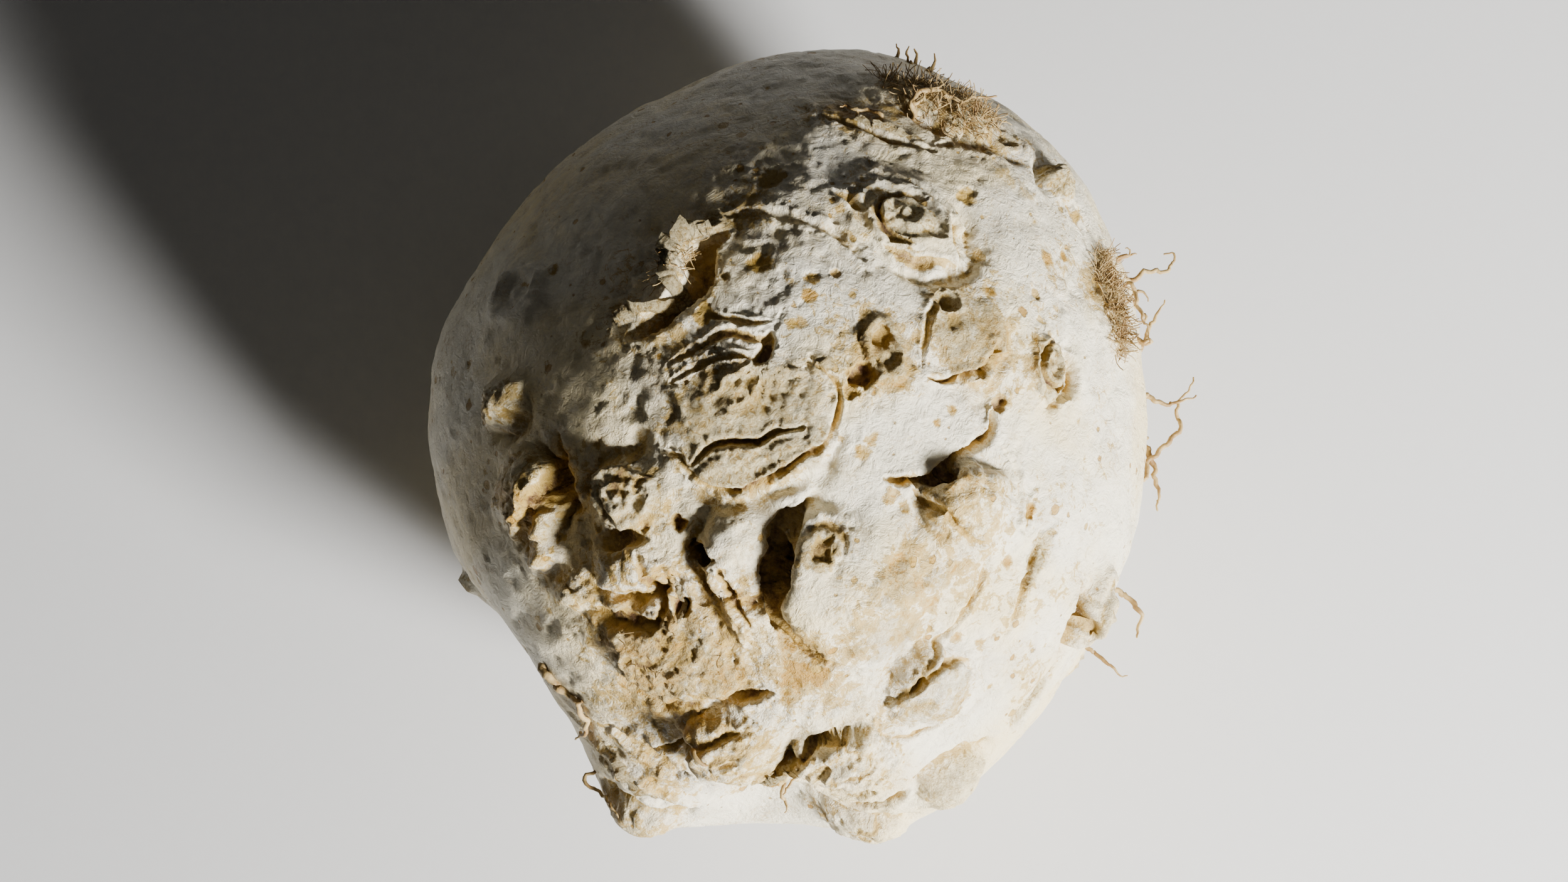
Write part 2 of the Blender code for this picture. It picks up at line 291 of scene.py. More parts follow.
FINISHES = {
    "eye_scar": Finish(tissue=0.68, tissue_reach=0.95, gnarl=0.08, ochre=0.6),
    "great_knob": Finish(gnarl=0.1, ochre=0.2),
    "right_knob": Finish(gnarl=0.12, ochre=0.2),
    "ring_collar": Finish(tissue=0.3, tissue_reach=0.8, rings=3.2, ochre=0.35),
    "ring_disc": Finish(tissue=0.8, tissue_reach=0.95, gnarl=0.05, ochre=0.3),
    "shelf_plate": Finish(tissue=0.5, tissue_reach=0.95, gnarl=0.08, ochre=1),
    "shelf_crater": Finish(tissue=0.7, tissue_reach=0.95, gnarl=0.12, ochre=1),
    "stub_scar": Finish(tissue=0.95, tissue_reach=0.95, rings=2.2, ochre=0.9),
    "cave_lip": Finish(tissue=0.5, tissue_reach=0.9, fibres=0.3, hair=0.4),
    "pitted_scar": Finish(tissue=0.6, tissue_reach=0.9, rings=1.6, gnarl=0.1, ochre=1),
    "left_knob": Finish(tissue=0.5, tissue_reach=0.9, rings=2.8, gnarl=0.5, ochre=0.7, grime=0.3),
    "low_left_knob": Finish(gnarl=0.15, ochre=0.3, grime=0.4),
    "far_left_knob": Finish(tissue=0.2, gnarl=0.5, ochre=0.7),
    "far_left_bud": Finish(tissue=0.4, gnarl=0.6, ochre=0.6),
    "left_sliver": Finish(gnarl=0.2, grime=0.5),
    "left_bud": Finish(tissue=0.4, gnarl=0.6, ochre=0.6),
    "middle_knob": Finish(gnarl=0.12),
    "torn_patch": Finish(tissue=0.4, tissue_reach=0.95, gnarl=0.5, ochre=0.9, hair=0.2),
    "foot_knob": Finish(tissue=0.2, tissue_reach=0.95, gnarl=0.1, ochre=0.6),
    "layered_knob": Finish(tissue=0.25, tissue_reach=1, rings=2.6, gnarl=0.35, ochre=0.4),
    "round_knob": Finish(tissue=0.4, tissue_reach=0.95, gnarl=0.22, ochre=0.7, grime=0.2),
    "edge_knob": Finish(tissue=0.4, tissue_reach=0.95, gnarl=0.2, ochre=0.6),
    "low_edge_knob": Finish(tissue=0.3, gnarl=0.5, ochre=0.6),
    "corner_knob": Finish(tissue=0.2, gnarl=0.4, ochre=0.5, grime=0.3),
    "side_knob": Finish(tissue=0.4, rings=2.2, gnarl=0.15, ochre=0.4, grime=0.4),
    "side_hollow": Finish(tissue=0.9, tissue_reach=0.95, gnarl=0.5, ochre=0.5, grime=0.4),
    "small_pit": Finish(tissue=0.9, tissue_reach=0.9, gnarl=0.5, ochre=0.5, grime=0.5),
    "shoulder_patch": Finish(tissue=0.9, tissue_reach=1, fibres=0.3, gnarl=0.5, ochre=0.7, hair=0.6),
    "shoulder_oval": Finish(tissue=0.5, rings=2, gnarl=0.2, ochre=0.4, grime=0.6),
    "shoulder_stub": Finish(tissue=0.7, tissue_reach=1, fibres=0.3, gnarl=0.3, ochre=0.7),
    "hairy_patch": Finish(tissue=1, tissue_reach=0.9, fibres=0.3, gnarl=0.4, ochre=1, hair=1),
    "faint_ring": Finish(rings=1.2, grime=0.2),
}

MARKS = {
    "eye_rim": Mark(
        ((3.5, 1.8), (6.8, -0.6), (8, -3.1), (7.4, -7), (6.4, -10), (3, -12), (0.2, -14), (-3.5, -16.2),
         (-7.5, -17), (-11, -16.3), (-14, -14), (-15.3, -12), (-18, -11)),
        width=0.5, height=-1, brown=0.8, slide=0.3
    ),
    "eye_slit": Mark(
        ((-13, -13), (-11.2, -11), (-9, -10), (-6.3, -9.8), (-3.8, -9.8), (-1, -8.5), (2.6, -8)),
        width=0.65, height=-1.5, brown=0.85, slide=-0.4
    ),
    "eye_lower_lid": Mark(((-12, -14.6), (-8, -12.6), (-3, -12.2), (2, -9.8)), width=1.6, height=0.6),
    "eye_pit": Mark(((-2, 5.8), (-2.7, 3), (-4.2, 1.6)), width=1, height=-1.5, brown=0.95),
    "eye_brow": Mark(
        ((-17, 1.5), (-12, 4.3), (-8.3, 6), (-4.2, 5), (-2, 5.4)), width=0.6, height=-0.9, brown=0.75
    ),
    "eye_low_brow": Mark(
        ((-16.5, -1), (-11.5, 1.6), (-7, 2.4), (-4, 2)), width=0.5, height=-0.8, brown=0.6
    ),
    "eye_upper_brow": Mark(
        ((-11.5, 9), (-8, 8.2), (-5, 7.4), (-2, 7.6)), width=0.5, height=-0.7, brown=0.6
    ),
    "great_crevice": Mark(
        ((2.6, -20.6), (1, -23.6), (-0.4, -28), (-1.6, -32), (-0.8, -36.2)),
        width=1.9, height=-2.6, brown=0.75, slide=0.6
    ),
    "great_crevice_tip": Mark(
        ((-1.6, -31), (-4, -32.8), (-6.4, -32.6)), width=1.2, height=-2, brown=0.8
    ),
    "great_pit_rim": Mark(
        ((9.8, -24.4), (8.6, -21.8), (5.6, -21.2), (3.4, -22.6)), width=0.6, height=-0.6, brown=0.55
    ),
    "great_lower_crease": Mark(
        ((31.5, -26.5), (30.3, -31), (27.6, -35.6), (24.2, -40), (20.8, -43)),
        width=0.5, height=-0.6, brown=0.5, slide=0.3
    ),
    "great_left_crease": Mark(
        ((-0.4, -36.6), (3, -39.6), (7, -41.6), (12, -43)), width=0.6, height=-0.7, brown=0.45
    ),
    "great_slit": Mark(((20.8, -43), (20.2, -44.6), (19, -46.4)), width=0.6, height=-1.3, brown=0.8),
    "right_crack": Mark(
        ((15, -15.2), (18, -15.8), (22.4, -15.2), (25, -13), (28, -11), (30.6, -9.4), (32, -7.4),
         (31.8, -4.6)),
        width=1, height=-2.9, brown=0.9, slide=0.6
    ),
    "right_knob_foot": Mark(
        ((19, -16.6), (22, -19.8), (24.8, -22.7), (27.6, -24.6), (31, -25)),
        width=0.5, height=-0.8, brown=0.65, slide=0.3
    ),
    # painted shade as well as brown: the dark paint in the ledge and hollow under the shelf plate
    # stands partly for the plate's shadow
    "shelf_ledge": Mark(
        ((31.6, 5.6), (31.8, 3), (29.4, 1.6), (26.3, 0.5), (23.5, -0.2), (21.2, 0)),
        width=0.55, height=-1.2, brown=0.85, slide=0.3
    ),
    "shelf_hollow": Mark(((31.4, 5.4), (31.2, 3.2), (28.6, 1.4)), width=1.3, height=-1.6, brown=0.9),
    "shelf_left_edge": Mark(
        ((24, 14.6), (22.4, 12.2), (21.2, 8.6), (20.6, 4.4), (20.4, 1.4)),
        width=0.4, height=-0.6, brown=0.5
    ),
    "stub_edge": Mark(
        ((44, 7.2), (41.6, 7.6), (40.2, 5.6), (39.6, 3), (41, 1), (43.4, 0.2), (45.4, 1.2), (45.8, 4),
         (44.4, 6.6)),
        width=0.4, height=-1, brown=0.8
    ),
    # painted shade: the brown in this carved crescent stands for the shadow beside the stub
    "stub_shade": Mark(
        ((45.8, 6.4), (47.2, 4.2), (47.2, 1.6), (45.8, -0.6)), width=1.2, height=-2, brown=0.45
    ),
    "ring_inner_crack": Mark(
        ((21.4, 28), (18, 28.6), (15, 27.8), (13.5, 25.6), (14, 23), (16, 20.8), (19, 19.6)),
        width=0.5, height=-1.1, brown=0.9
    ),
    "ring_crevice": Mark(
        ((25.6, 25), (26.4, 23), (26.4, 21), (27, 18.2)), width=1.2, height=-2.3, brown=0.8
    ),
    "ring_bottom_crack": Mark(
        ((14.6, 20), (17, 18.4), (20.4, 17.2), (26.4, 18)), width=0.55, height=-1.1, brown=0.75
    ),
    "ring_spike": Mark(((7.4, 28.6), (9, 27.4), (11.6, 25.4)), width=0.7, height=-0.9, brown=0.6),
    "ring_side_crack": Mark(
        ((2.5, 23.4), (6.5, 22.3), (9.6, 20), (12, 17.6)), width=0.6, height=-0.6, brown=0.3
    ),
    "ridge_step": Mark(
        ((-9, 25.2), (-4, 25), (0, 24.2), (3, 23.4)), width=1, height=-0.7, brown=0.15, slide=0.5
    ),
    "cave": Mark(
        ((-9, 22), (-11, 20.4), (-12, 17.6), (-12.4, 15), (-15.6, 11.4), (-19.2, 8.4), (-23, 6.6)),
        width=1.5, height=-4.6, brown=0.7
    ),
    "cave_edge": Mark(
        ((-9.6, 23.6), (-13.3, 21.4), (-15, 18), (-15.6, 15), (-18, 11.4), (-21.5, 9.6), (-25, 8.8)),
        width=1.1, height=1.2
    ),
    "pale_fold": Mark(((-17, -28), (-16.4, -32), (-16.2, -35), (-17.4, -37.6)), width=1.1, height=1.1),
    "pale_fold_crack": Mark(
        ((-21, -25), (-19.4, -29.5), (-18.2, -33), (-19.2, -36.5)), width=0.6, height=-1.3, brown=0.7
    ),
    "rust_stripe": Mark(
        ((-13, -26), (-12, -29.6), (-10.4, -34), (-8.2, -39.4), (-7.8, -42.8)),
        width=1.5, height=-0.5, brown=0.5
    ),
    "rust_stripe_fold": Mark(((-11, -27), (-9, -32), (-6.4, -37), (-6, -40)), width=0.9, height=0.9),
    "rust_stripe_crack": Mark(
        ((-9.6, -27), (-7.6, -32), (-5, -36.6)), width=0.6, height=-1.4, brown=0.8
    ),
    "slot": Mark(((-8.8, -49.2), (-5.4, -47.9), (-1.8, -47.2)), width=0.8, height=-1.7, brown=0.85),
    "left_cleft": Mark(((-28, -24), (-24, -23.4), (-20, -23.4)), width=1.2, height=-1.9, brown=0.8),
    "left_lower_cleft": Mark(
        ((-30, -34.5), (-24, -35.5), (-19, -36)), width=1.5, height=-2.2, brown=0.85
    ),
    "far_left_cleft": Mark(
        ((-35, -8), (-35.5, -14), (-38, -20), (-43, -25)), width=1.5, height=-2, brown=0.8
    ),
    "foot_top": Mark(
        ((-23.6, -59.4), (-17.7, -58.6), (-13.1, -54.6), (-8.9, -53), (-5, -52.8)),
        width=0.7, height=-1.3, brown=0.75, slide=0.4
    ),
    "foot_hollow": Mark(((-29.6, -58), (-24, -61.6), (-18, -66)), width=1.6, height=-2.6, brown=0.75),
    "foot_slot": Mark(((-10, -57), (-8, -56.6), (-6, -56.2)), width=0.4, height=-0.6, brown=0.7),
    "foot_strand": Mark(((-38, -62), (-30, -65), (-22.5, -70), (-17, -76)), width=1.1, height=1.4),
    "foot_low_strand": Mark(((-36, -67), (-28, -70), (-22, -75)), width=0.9, height=1.1),
    "petal": Mark(((2.6, -59), (0, -62), (-4.6, -64.4)), width=1, height=1.4),
    "layered_top": Mark(
        ((-4.3, -61), (-0.4, -60.2), (2.4, -57.2), (5.6, -54.8), (10, -53.4)),
        width=0.5, height=-1.2, brown=0.85, slide=0.4
    ),
    "layered_slot": Mark(
        ((7, -64.4), (12, -63.2), (18, -60.6)), width=0.7, height=-1.3, brown=0.8, slide=0.5
    ),
    "layered_shelf": Mark(
        ((5, -61), (10, -59.4), (15, -57.4)), width=0.4, height=-0.6, brown=0.55, slide=0.3
    ),
    "layered_foot": Mark(((1.5, -65), (8.5, -68.4), (15.5, -67.6)), width=1.1, height=-1.8, brown=0.8),
    "low_edge_crack": Mark(((10, -73), (16, -71.5), (22, -67.5)), width=1.1, height=-1.8, brown=0.8),
    "shoulder_slit": Mark(
        ((24.6, 40.2), (28, 41.2), (30.4, 41.2), (32.6, 40)),
        width=0.9, height=-1.7, brown=0.85, slide=0.5
    ),
    "shoulder_ledge": Mark(
        ((6, 44), (12, 41.6), (18, 39.6), (23.6, 38.6)), width=0.8, height=-1.4, brown=0.6, slide=0.6
    ),
    "shoulder_drip": Mark(((47.6, 36), (50, 33.4), (52.4, 31)), width=0.5, height=-0.7, brown=0.6),
    "shoulder_drip_right": Mark(
        ((49.6, 37), (52, 34.6), (54.4, 32)), width=0.5, height=-0.6, brown=0.5
    ),
    "round_knob_top": Mark(
        ((16, -49.6), (18, -46.8), (21, -44), (25, -42), (29.4, -42.6), (31.6, -45.6)),
        width=0.55, height=-0.9, brown=0.55, slide=-0.3
    ),
    "round_knob_foot": Mark(
        ((14.6, -51.4), (17, -54.6), (22, -56), (27, -54.4), (31, -50)),
        width=0.5, height=-0.7, brown=0.5, slide=0.3
    ),
    "small_pit_line": Mark(
        ((42.6, -25), (41, -28.6), (38.6, -33), (37, -38)), width=0.7, height=-0.8, brown=0.6
    ),
    "side_streak": Mark(((40.4, -17), (39, -19.6), (38.4, -22.4)), width=0.45, height=-0.4, brown=0.45),
    "knob_side_line": Mark(
        ((33.4, -9), (36.4, -13), (37, -18), (35.6, -22)), width=0.5, height=-0.5, brown=0.2
    ),
    "side_knob_crease": Mark(
        ((53.6, -31), (53.4, -36), (56, -41.6)), width=0.8, height=-1.6, brown=0.75
    ),
}

FANS = (
    Fan(-2.6, 2.6, 11.0, towards=225, spread=80, height=0.9, brown=0.35, tissue=0.3),
    Fan(-2.6, 2.6, 9.0, towards=300, spread=60, height=0.8, brown=0.3, tissue=0.3),
    Fan(-15.2, 14.0, 8.0, towards=115, spread=60, height=0.8, brown=0.4, tissue=0.4),
    Fan(9.0, -19.0, 12.0, towards=250, spread=50, height=0.25, brown=0.15),
    Fan(24.0, -15.0, 11.0, towards=-60, spread=50, height=0.4, brown=0.3),
    Fan(24.0, 22.0, 9.0, towards=30, spread=70, height=0.4, brown=0.1),
)

REGIONS = (
    Region(-20, -66, 12, gnarl=0.4, stain=0.35, grime=0.3),
    Region(-30, -58, 10, gnarl=0.35, stain=0.3, grime=0.3),
    Region(-40, 30, 26, gnarl=0.07, grime=0.3),
    Region(-10, 52, 26, gnarl=0.08, grime=0.4),
    Region(-60, 0, 22, gnarl=0.07, grime=0.2),
    Region(10, 0, 40, gnarl=0.05),
    Region(-4, -8, 8, gnarl=0.05, stain=0.3),
    Region(-24, -24, 15, gnarl=0.35, stain=0.3, grime=0.3),
    Region(-40, -18, 10, gnarl=0.4, stain=0.3),
    Region(-22, -40, 13, gnarl=0.45, stain=0.4, grime=0.2),
    Region(-12, -48, 13, gnarl=0.5, stain=0.5),
    Region(-16, -60, 10, gnarl=0.3, stain=0.2, grime=0.4),
    Region(-10, -32, 8, gnarl=0.45, stain=0.5),
    Region(9, -63, 11, gnarl=0.3, stain=0.4),
    Region(14, -50, 9, gnarl=0.12, stain=0.3),
    Region(-20, -3, 8, gnarl=0.3, stain=0.2, grime=0.3),
    Region(-12, 3, 7, gnarl=0.3, stain=0.4),
    Region(-20, 14, 8, gnarl=0.3, stain=0.3, grime=0.2),
    Region(-8, 26, 6, gnarl=0.4, stain=0.6, grime=0.3),
    Region(0, 28, 12, gnarl=0.12, grime=0.5),
    Region(0, 18, 9, gnarl=0.12, grime=0.3),
    Region(20, 38, 10, gnarl=0.14, grime=0.4),
    Region(12, 44, 7, gnarl=0.4, stain=0.7, grime=0.3),
    Region(36, 40, 8, gnarl=0.25, stain=0.5, grime=0.3),
    Region(60, 20, 8, gnarl=0.3, stain=0.8),
    Region(30, 5, 9, gnarl=0.12, stain=0.25),
    Region(13, 2, 7, gnarl=0.25, stain=0.5),
    Region(25, -20, 5, gnarl=0.2, stain=0.5),
    Region(17, -35, 8, gnarl=0.16, stain=0.4),
    Region(2, -38, 4, gnarl=0.3, stain=0.7),
    Region(45, -45, 16, gnarl=0.08, stain=0.25),
    Region(15, -32, 5, gnarl=0.12, stain=0.3),
    Region(26, -31, 7, stain=0.3),
    Region(23, -22, 5, stain=0.5),
    Region(9, 4, 16, stain=0.1),
    Region(60, -20, 16, gnarl=0.06, stain=0.15),
    Region(3, -45, 6, gnarl=0.15, stain=0.5),
    Region(26, 6, 6, gnarl=0.06, stain=0.8),
    Region(-4, -5, 9, stain=0.5),
    Region(24, 12.6, 3, gnarl=0.2, stain=0.8),
    Region(42.5, 4, 3.6, gnarl=0.1, stain=0.9),
    Region(14.5, 3.6, 5, stain=0.8),
    Region(46, 18, 5, gnarl=0.15, stain=0.5),
    Region(28, -16, 6, gnarl=0.12, stain=0.3),
)

SPOTS = (
    Spot(5.5, 1, 1.5, 0.2, tissue=0.6, stain=0.6),
    Spot(6.7, -23.9, 1.2, -0.9, brown=0.7, grime=0.5),
    Spot(6.2, -23.8, 2.9, 0.4, tissue=0.5, stain=0.4, grime=0.5),
    Spot(17, -30, 3.4, 0.2, tissue=0.4, stain=0.4),
    Spot(17.3, -26.4, 1.1, -0.5, stain=0.6, grime=0.6),
    Spot(16.8, -37.4, 4.4, 0.1, tissue=0.4, stain=0.4, grime=0.5),
    Spot(23.4, -29.3, 2, 0.25, tissue=0.4, grime=0.5),
    Spot(22.5, -33.4, 1.2, -0.1, stain=1),
    Spot(2, -44, 1.9, -0.3, stain=1),
    Spot(5.4, -44, 1.4, -0.2, stain=0.9),
    Spot(0.7, -47, 1.7, 0, stain=0.8),
    Spot(14.3, 5.8, 1.3, -0.9, brown=0.5, stain=1),
    Spot(14.3, 5, 2.8, 0.3, tissue=0.6, stain=0.3),
    Spot(11, -0.4, 1.5, -1.6, brown=0.85),
    Spot(14.8, 0.4, 1.6, 0.5, tissue=0.6, stain=0.5),
    Spot(9.6, -2.7, 0.9, -0.7, brown=0.6, stain=0.6),
    Spot(23.9, 11.6, 1.2, -0.6, brown=0.35, stain=0.9),
    Spot(24.6, 8.8, 0.9, -0.4, brown=0.4, stain=1),
    Spot(29, 9, 1, -0.2, stain=0.9),
    Spot(19.4, 6, 0.9, -0.3, stain=0.9),
    Spot(33, -3, 1.1, -1, brown=0.8),
    Spot(3.7, 11.4, 0.8, -0.1, stain=1),
    Spot(2.4, 7.3, 0.8, -0.1, stain=1),
    Spot(4.1, 14.1, 0.9, -0.2, brown=0.3, stain=0.8),
    Spot(7.7, 15.1, 0.6, -0.3, brown=0.6),
    Spot(-3.6, 16.7, 1.4, -0.3, brown=0.4, stain=0.8),
    Spot(-11.6, 9, 1.5, -0.4, brown=0.5, stain=0.7),
    Spot(11.4, -11.7, 1.1, -0.1, brown=0.3, stain=0.8),
    Spot(12.7, -9.6, 0.9, -0.1, stain=0.9),
    Spot(8.1, -9.6, 0.8, 0, stain=0.8),
    Spot(15.7, -17.5, 1, -0.1, stain=1),
    Spot(17.6, -19.2, 0.7, -0.1, stain=1),
    Spot(25.3, -4.7, 0.7, -0.1, stain=1),
    Spot(22.9, -6.6, 0.6, -0.1, stain=1),
    Spot(39.6, 15.4, 0.7, -0.3, brown=0.5),
    Spot(39.9, 11.1, 0.6, -0.2, brown=0.5),
    Spot(46.8, 24.3, 0.8, -0.2, stain=0.8),
    Spot(42.5, 22.1, 1.2, 0.1, stain=0.7),
    Spot(30.9, 14.1, 0.8, 0, stain=0.9),
    Spot(29.9, 20.9, 1.1, 0.1, stain=0.6),
    Spot(28.4, 30.5, 1.2, -0.5, brown=0.6, stain=0.6),
    Spot(34.9, 35.6, 1.8, 0.2, tissue=0.5, stain=0.6),
    Spot(39.4, 34, 1.6, 0.2, tissue=0.5, stain=0.5),
    Spot(35.3, -27.3, 0.8, -0.1, stain=0.6, grime=0.5),
    Spot(39.1, -19.2, 1, 0, stain=0.9),
    Spot(27.3, -39.1, 0.8, 0, stain=1),
    Spot(31.8, -40.8, 0.9, 0, stain=1),
    Spot(9.9, -48.1, 1.2, 0, brown=0.2, grime=0.5),
    Spot(-15.4, -33.6, 1.1, -2, brown=0.95),
    Spot(-12.2, -25.6, 1.4, -2.2, brown=0.95),
    Spot(-15.2, -21.4, 1, -1.6, brown=0.9),
    Spot(9.5, 32, 4.5, -0.3, grime=0.6),
    Spot(2, 29, 4, 0.2, grime=0.5),
    Spot(-2, 31.5, 1.7, -0.9, brown=0.5, grime=0.5),
    Spot(5.5, 24, 1.2, 0.4, grime=0.5),
    Spot(1, 17, 2.2, 0.3, grime=0.5),
    Spot(-3.5, 11.5, 2.5, -0.4, grime=0.4),
    Spot(-10, 24.6, 2.2, 0.3, tissue=0.8, stain=0.6),
)


PEELS = (
    Peel(((-10.5, 22.4), (-13.2, 20.6), (-14.8, 18), (-15.4, 15.4), (-14.8, 13.4)), 3.4, 100, 1),
    Peel(((-13.6, 13.4), (-16, 11.6), (-19, 9.8), (-22.4, 9.2), (-26, 8.4)), 2.6, 90, 1),
    Peel(((-8.6, 24.2), (-11, 23.6), (-13.6, 22)), 1.8, 70, 1),
    Peel(((2.8, -58.6), (0.6, -61), (-1.6, -62.6), (-4.6, -63.8)), 2.2, 80, 1),
    Peel(((-16.8, -29), (-15.8, -32.4), (-16, -36)), 1.2, 70, -1),
    Peel(((7.6, 28.8), (9.6, 27.4), (11.8, 25.6)), 1, 80, -1),
    Peel(((-35, -61.5), (-30, -63.6), (-26, -67), (-22.5, -71)), 2, 80, 1),
    Peel(((10, 43.4), (14, 42), (18, 40.8), (22, 40)), 1.6, 70, -1),
    Peel(((26, 42), (29, 42.6), (32, 42)), 1.4, 75, -1),
)

ROOTLETS = {
    "rootlets_right_shoulder": Tuft(
        "rootlet_right_shoulder",
        5,
        (
            Route(18, 0.5, ((52, 25.5), (53, 26), (54, 26), (55, 26.5))),
            Route(19, 0.45, ((53.5, 26), (53.6, 26.6), (53, 27.2))),
            Route(12, 0.6, (
                (53.5, 23.5), (55, 24), (57, 25), (58.5, 25.5), (60, 25), (61.5, 26), (62.3, 27.5),
                (61.5, 28.3), (60.4, 27.7),
            )),
            Route(20, 0.5, ((53.5, 21), (54, 19.5), (54.5, 17), (55.5, 15), (56, 12.5), (56, 11.6))),
            Route(16, 0.5, ((57, 13), (55, 13), (54, 14), (53.5, 16), (52.5, 17.5))),
            Route(17, 0.45, ((53.5, 19.5), (54.5, 20), (55.5, 20.5), (56, 20), (56.5, 19))),
            Route(11, 0.5, ((54.5, 20), (56, 19.5), (57, 18.5), (57.5, 18), (56, 17.5), (55, 18))),
            Route(8, 0.6, (
                (55.5, 13.5), (57, 14), (58, 15.5), (58.5, 17), (59.5, 18.5), (60, 20), (61, 21.5),
            )),
        ),
    ),
    "rootlets_right_side": Tuft(
        "rootlet_right_side",
        3,
        (
            Route(8, 0.6, ((56, 6), (57, 6), (58, 5.5), (59.5, 4.5), (61.5, 5), (63, 5), (65.5, 6))),
            Route(5, 0.6, (
                (57.5, -7), (58, -5), (59, -3), (60, -2), (61.5, -1), (63, 0.5), (63.5, 2.5), (63, 4),
                (63.5, 5.5), (65, 7), (65.5, 8.5), (65.5, 9.5),
            )),
            Route(4, 0.7, ((57.5, -0.5), (58.5, -2.5), (59, -5), (59.5, -8.5), (59.5, -12))),
        ),
    ),
    "rootlets_right_foot": Tuft(
        "rootlet_right_foot",
        2,
        (
            Route(2, 0.7, ((54, -25), (55.5, -26.5), (56.5, -28.5), (56.5, -30), (56, -32))),
            Route(0, 0.5, ((52, -36), (53.4, -37.6), (54.6, -38))),
        ),
    ),
    "rootlets_top_edge": Tuft(
        "rootlet_top_edge",
        4,
        (
            Route(16, 0.5, ((18, 60.5), (18, 61.5))),
            Route(16, 0.5, ((21, 59), (21, 59.5), (21, 60.5))),
            Route(16, 0.55, ((23, 57), (24, 58), (24, 59), (24, 60))),
            Route(18, 0.45, ((20, 57.5), (19.4, 59), (19.8, 60.4))),
        ),
    ),
    "rootlets_shoulder": Tuft(
        "rootlet_shoulder",
        3,
        (
            Route(34, 0.65, (
                (19, 41.5), (19, 43.5), (20.5, 45.5), (22.5, 46), (24.5, 45), (27, 45), (29.5, 46),
                (31.5, 46),
            )),
            Route(36, 0.5, ((19, 43.5), (20.5, 44), (21, 45.5))),
            Route(36, 0.5, ((14, 40.5), (12, 41.5), (10.5, 41.5), (9, 42.5), (8, 42))),
            Route(37, 0.4, ((10.5, 41.5), (9.5, 42), (8.5, 42.8))),
        ),
        resting=True,
    ),
    "rootlets_left_foot": Tuft(
        "rootlet_left_foot",
        3,
        (
            Route(14, 0.65, ((-30, -43), (-29, -45.5), (-29.5, -47), (-31.5, -48))),
            Route(18, 1, ((-35.5, -38), (-34, -39.5), (-31.5, -42), (-29.5, -43))),
            Route(6, 0.45, ((-30.5, -53.5), (-28.5, -56), (-26, -58.5), (-25, -61))),
        ),
        resting=True,
    ),
    "rootlets_front": Tuft(
        "rootlet_front",
        2,
        (
            Route(30, 0.6, ((-12.5, -50), (-11.5, -51.5), (-10.5, -52))),
            Route(26, 0.5, ((1.5, -52.5), (1, -54.5), (-0.5, -56))),
            Route(20, 0.5, ((-0.5, -56), (0.5, -57.5), (0.5, -58.5), (0, -59))),
        ),
        resting=True,
    ),
}


def smooth_step(low, high, values):
    share = np.clip((values - low) / (high - low), 0.0, 1.0)
    return share * share * (3.0 - 2.0 * share)


def direction(azimuth, elevation):
    az, el = radians(azimuth), radians(elevation)
    return Vector((cos(el) * cos(az), cos(el) * sin(az), sin(el)))


def on_map(x, y):
    """The direction of a place on the map of the upper side."""
    reach = hypot(x, y)
    polar = reach / HALF_WIDTH
    return Vector((sin(polar) * x / reach, sin(polar) * y / reach, cos(polar)))


def skin_axes(outward, turn=0.0):
    """Two directions along the skin: the body's +X and +Y, tipped over to lie across outward."""
    tip = Vector((0, 0, 1)).rotation_difference(outward)
    tip = Quaternion(outward, radians(turn)) @ tip
    return tip @ Vector((1, 0, 0)), tip @ Vector((0, 1, 0))


def lower_growths():
    """Root scars and small knobs round the sides, and on the flanks that taper to the crown."""
    chance = Random(7)
    bands = ((-8, 9, 5.0), (-28, 11, 4.4))
    made = []
    for band, (elevation, count, size) in enumerate(bands):
        for i in range(count):
            azimuth = (i + 0.5 * band) * 360 / count + chance.uniform(-9, 9)
            scale = size * chance.uniform(0.6, 1.15)
            made.append(
                Growth(
                    f"flank_{band}_{i}",
                    azimuth,
                    elevation + chance.uniform(-6, 6),
                    scale,
                    scale * chance.uniform(0.7, 1.0),
                    chance.uniform(0.8, 2.4),
                    turn=chance.uniform(-40, 40),
                    dish=chance.choice((0.0, 1.0, 1.6)),
                    moat=chance.uniform(0.3, 1.4),
                    moat_at=chance.uniform(0, 360),
                )
            )
    return made


def flank_finish(growth):
    """A dished flank scar shows rough tissue with rings, and a plain knob is only wrinkled."""
    if growth.dish:
        return Finish(tissue=0.7, rings=1.8, gnarl=0.25, ochre=0.5)
    return Finish(gnarl=0.3, ochre=0.25, grime=0.2)


def noise_at(places, size, seed=0, octaves=3):
    """Fractal noise, about -1 to 1, at each place. size is the length of its coarsest bumps."""
    start = Vector((seed * 7.3, seed * 3.1, seed * 5.7))
    return np.array([noise.fractal(Vector(p) / size + start, 1.0, 2.0, octaves) for p in places])


def body_radius(directions):
    """Distance from the body's middle to the skin, before the growths, for unit directions."""
    halves = np.array((HALF_WIDTH, HALF_LENGTH, HALF_HEIGHT))
    radius = 1.0 / np.linalg.norm(directions / halves, axis=1)
    for lobe in LOBES:
        facing = directions @ np.array(direction(lobe.azimuth, lobe.elevation))
        angle = np.degrees(np.arccos(np.clip(facing, -1.0, 1.0)))
        radius += lobe.height * np.exp(-((angle / lobe.spread) ** 2))
    return radius + SKIN_WAVE * noise_at(directions * HALF_WIDTH, WAVE_LENGTH)


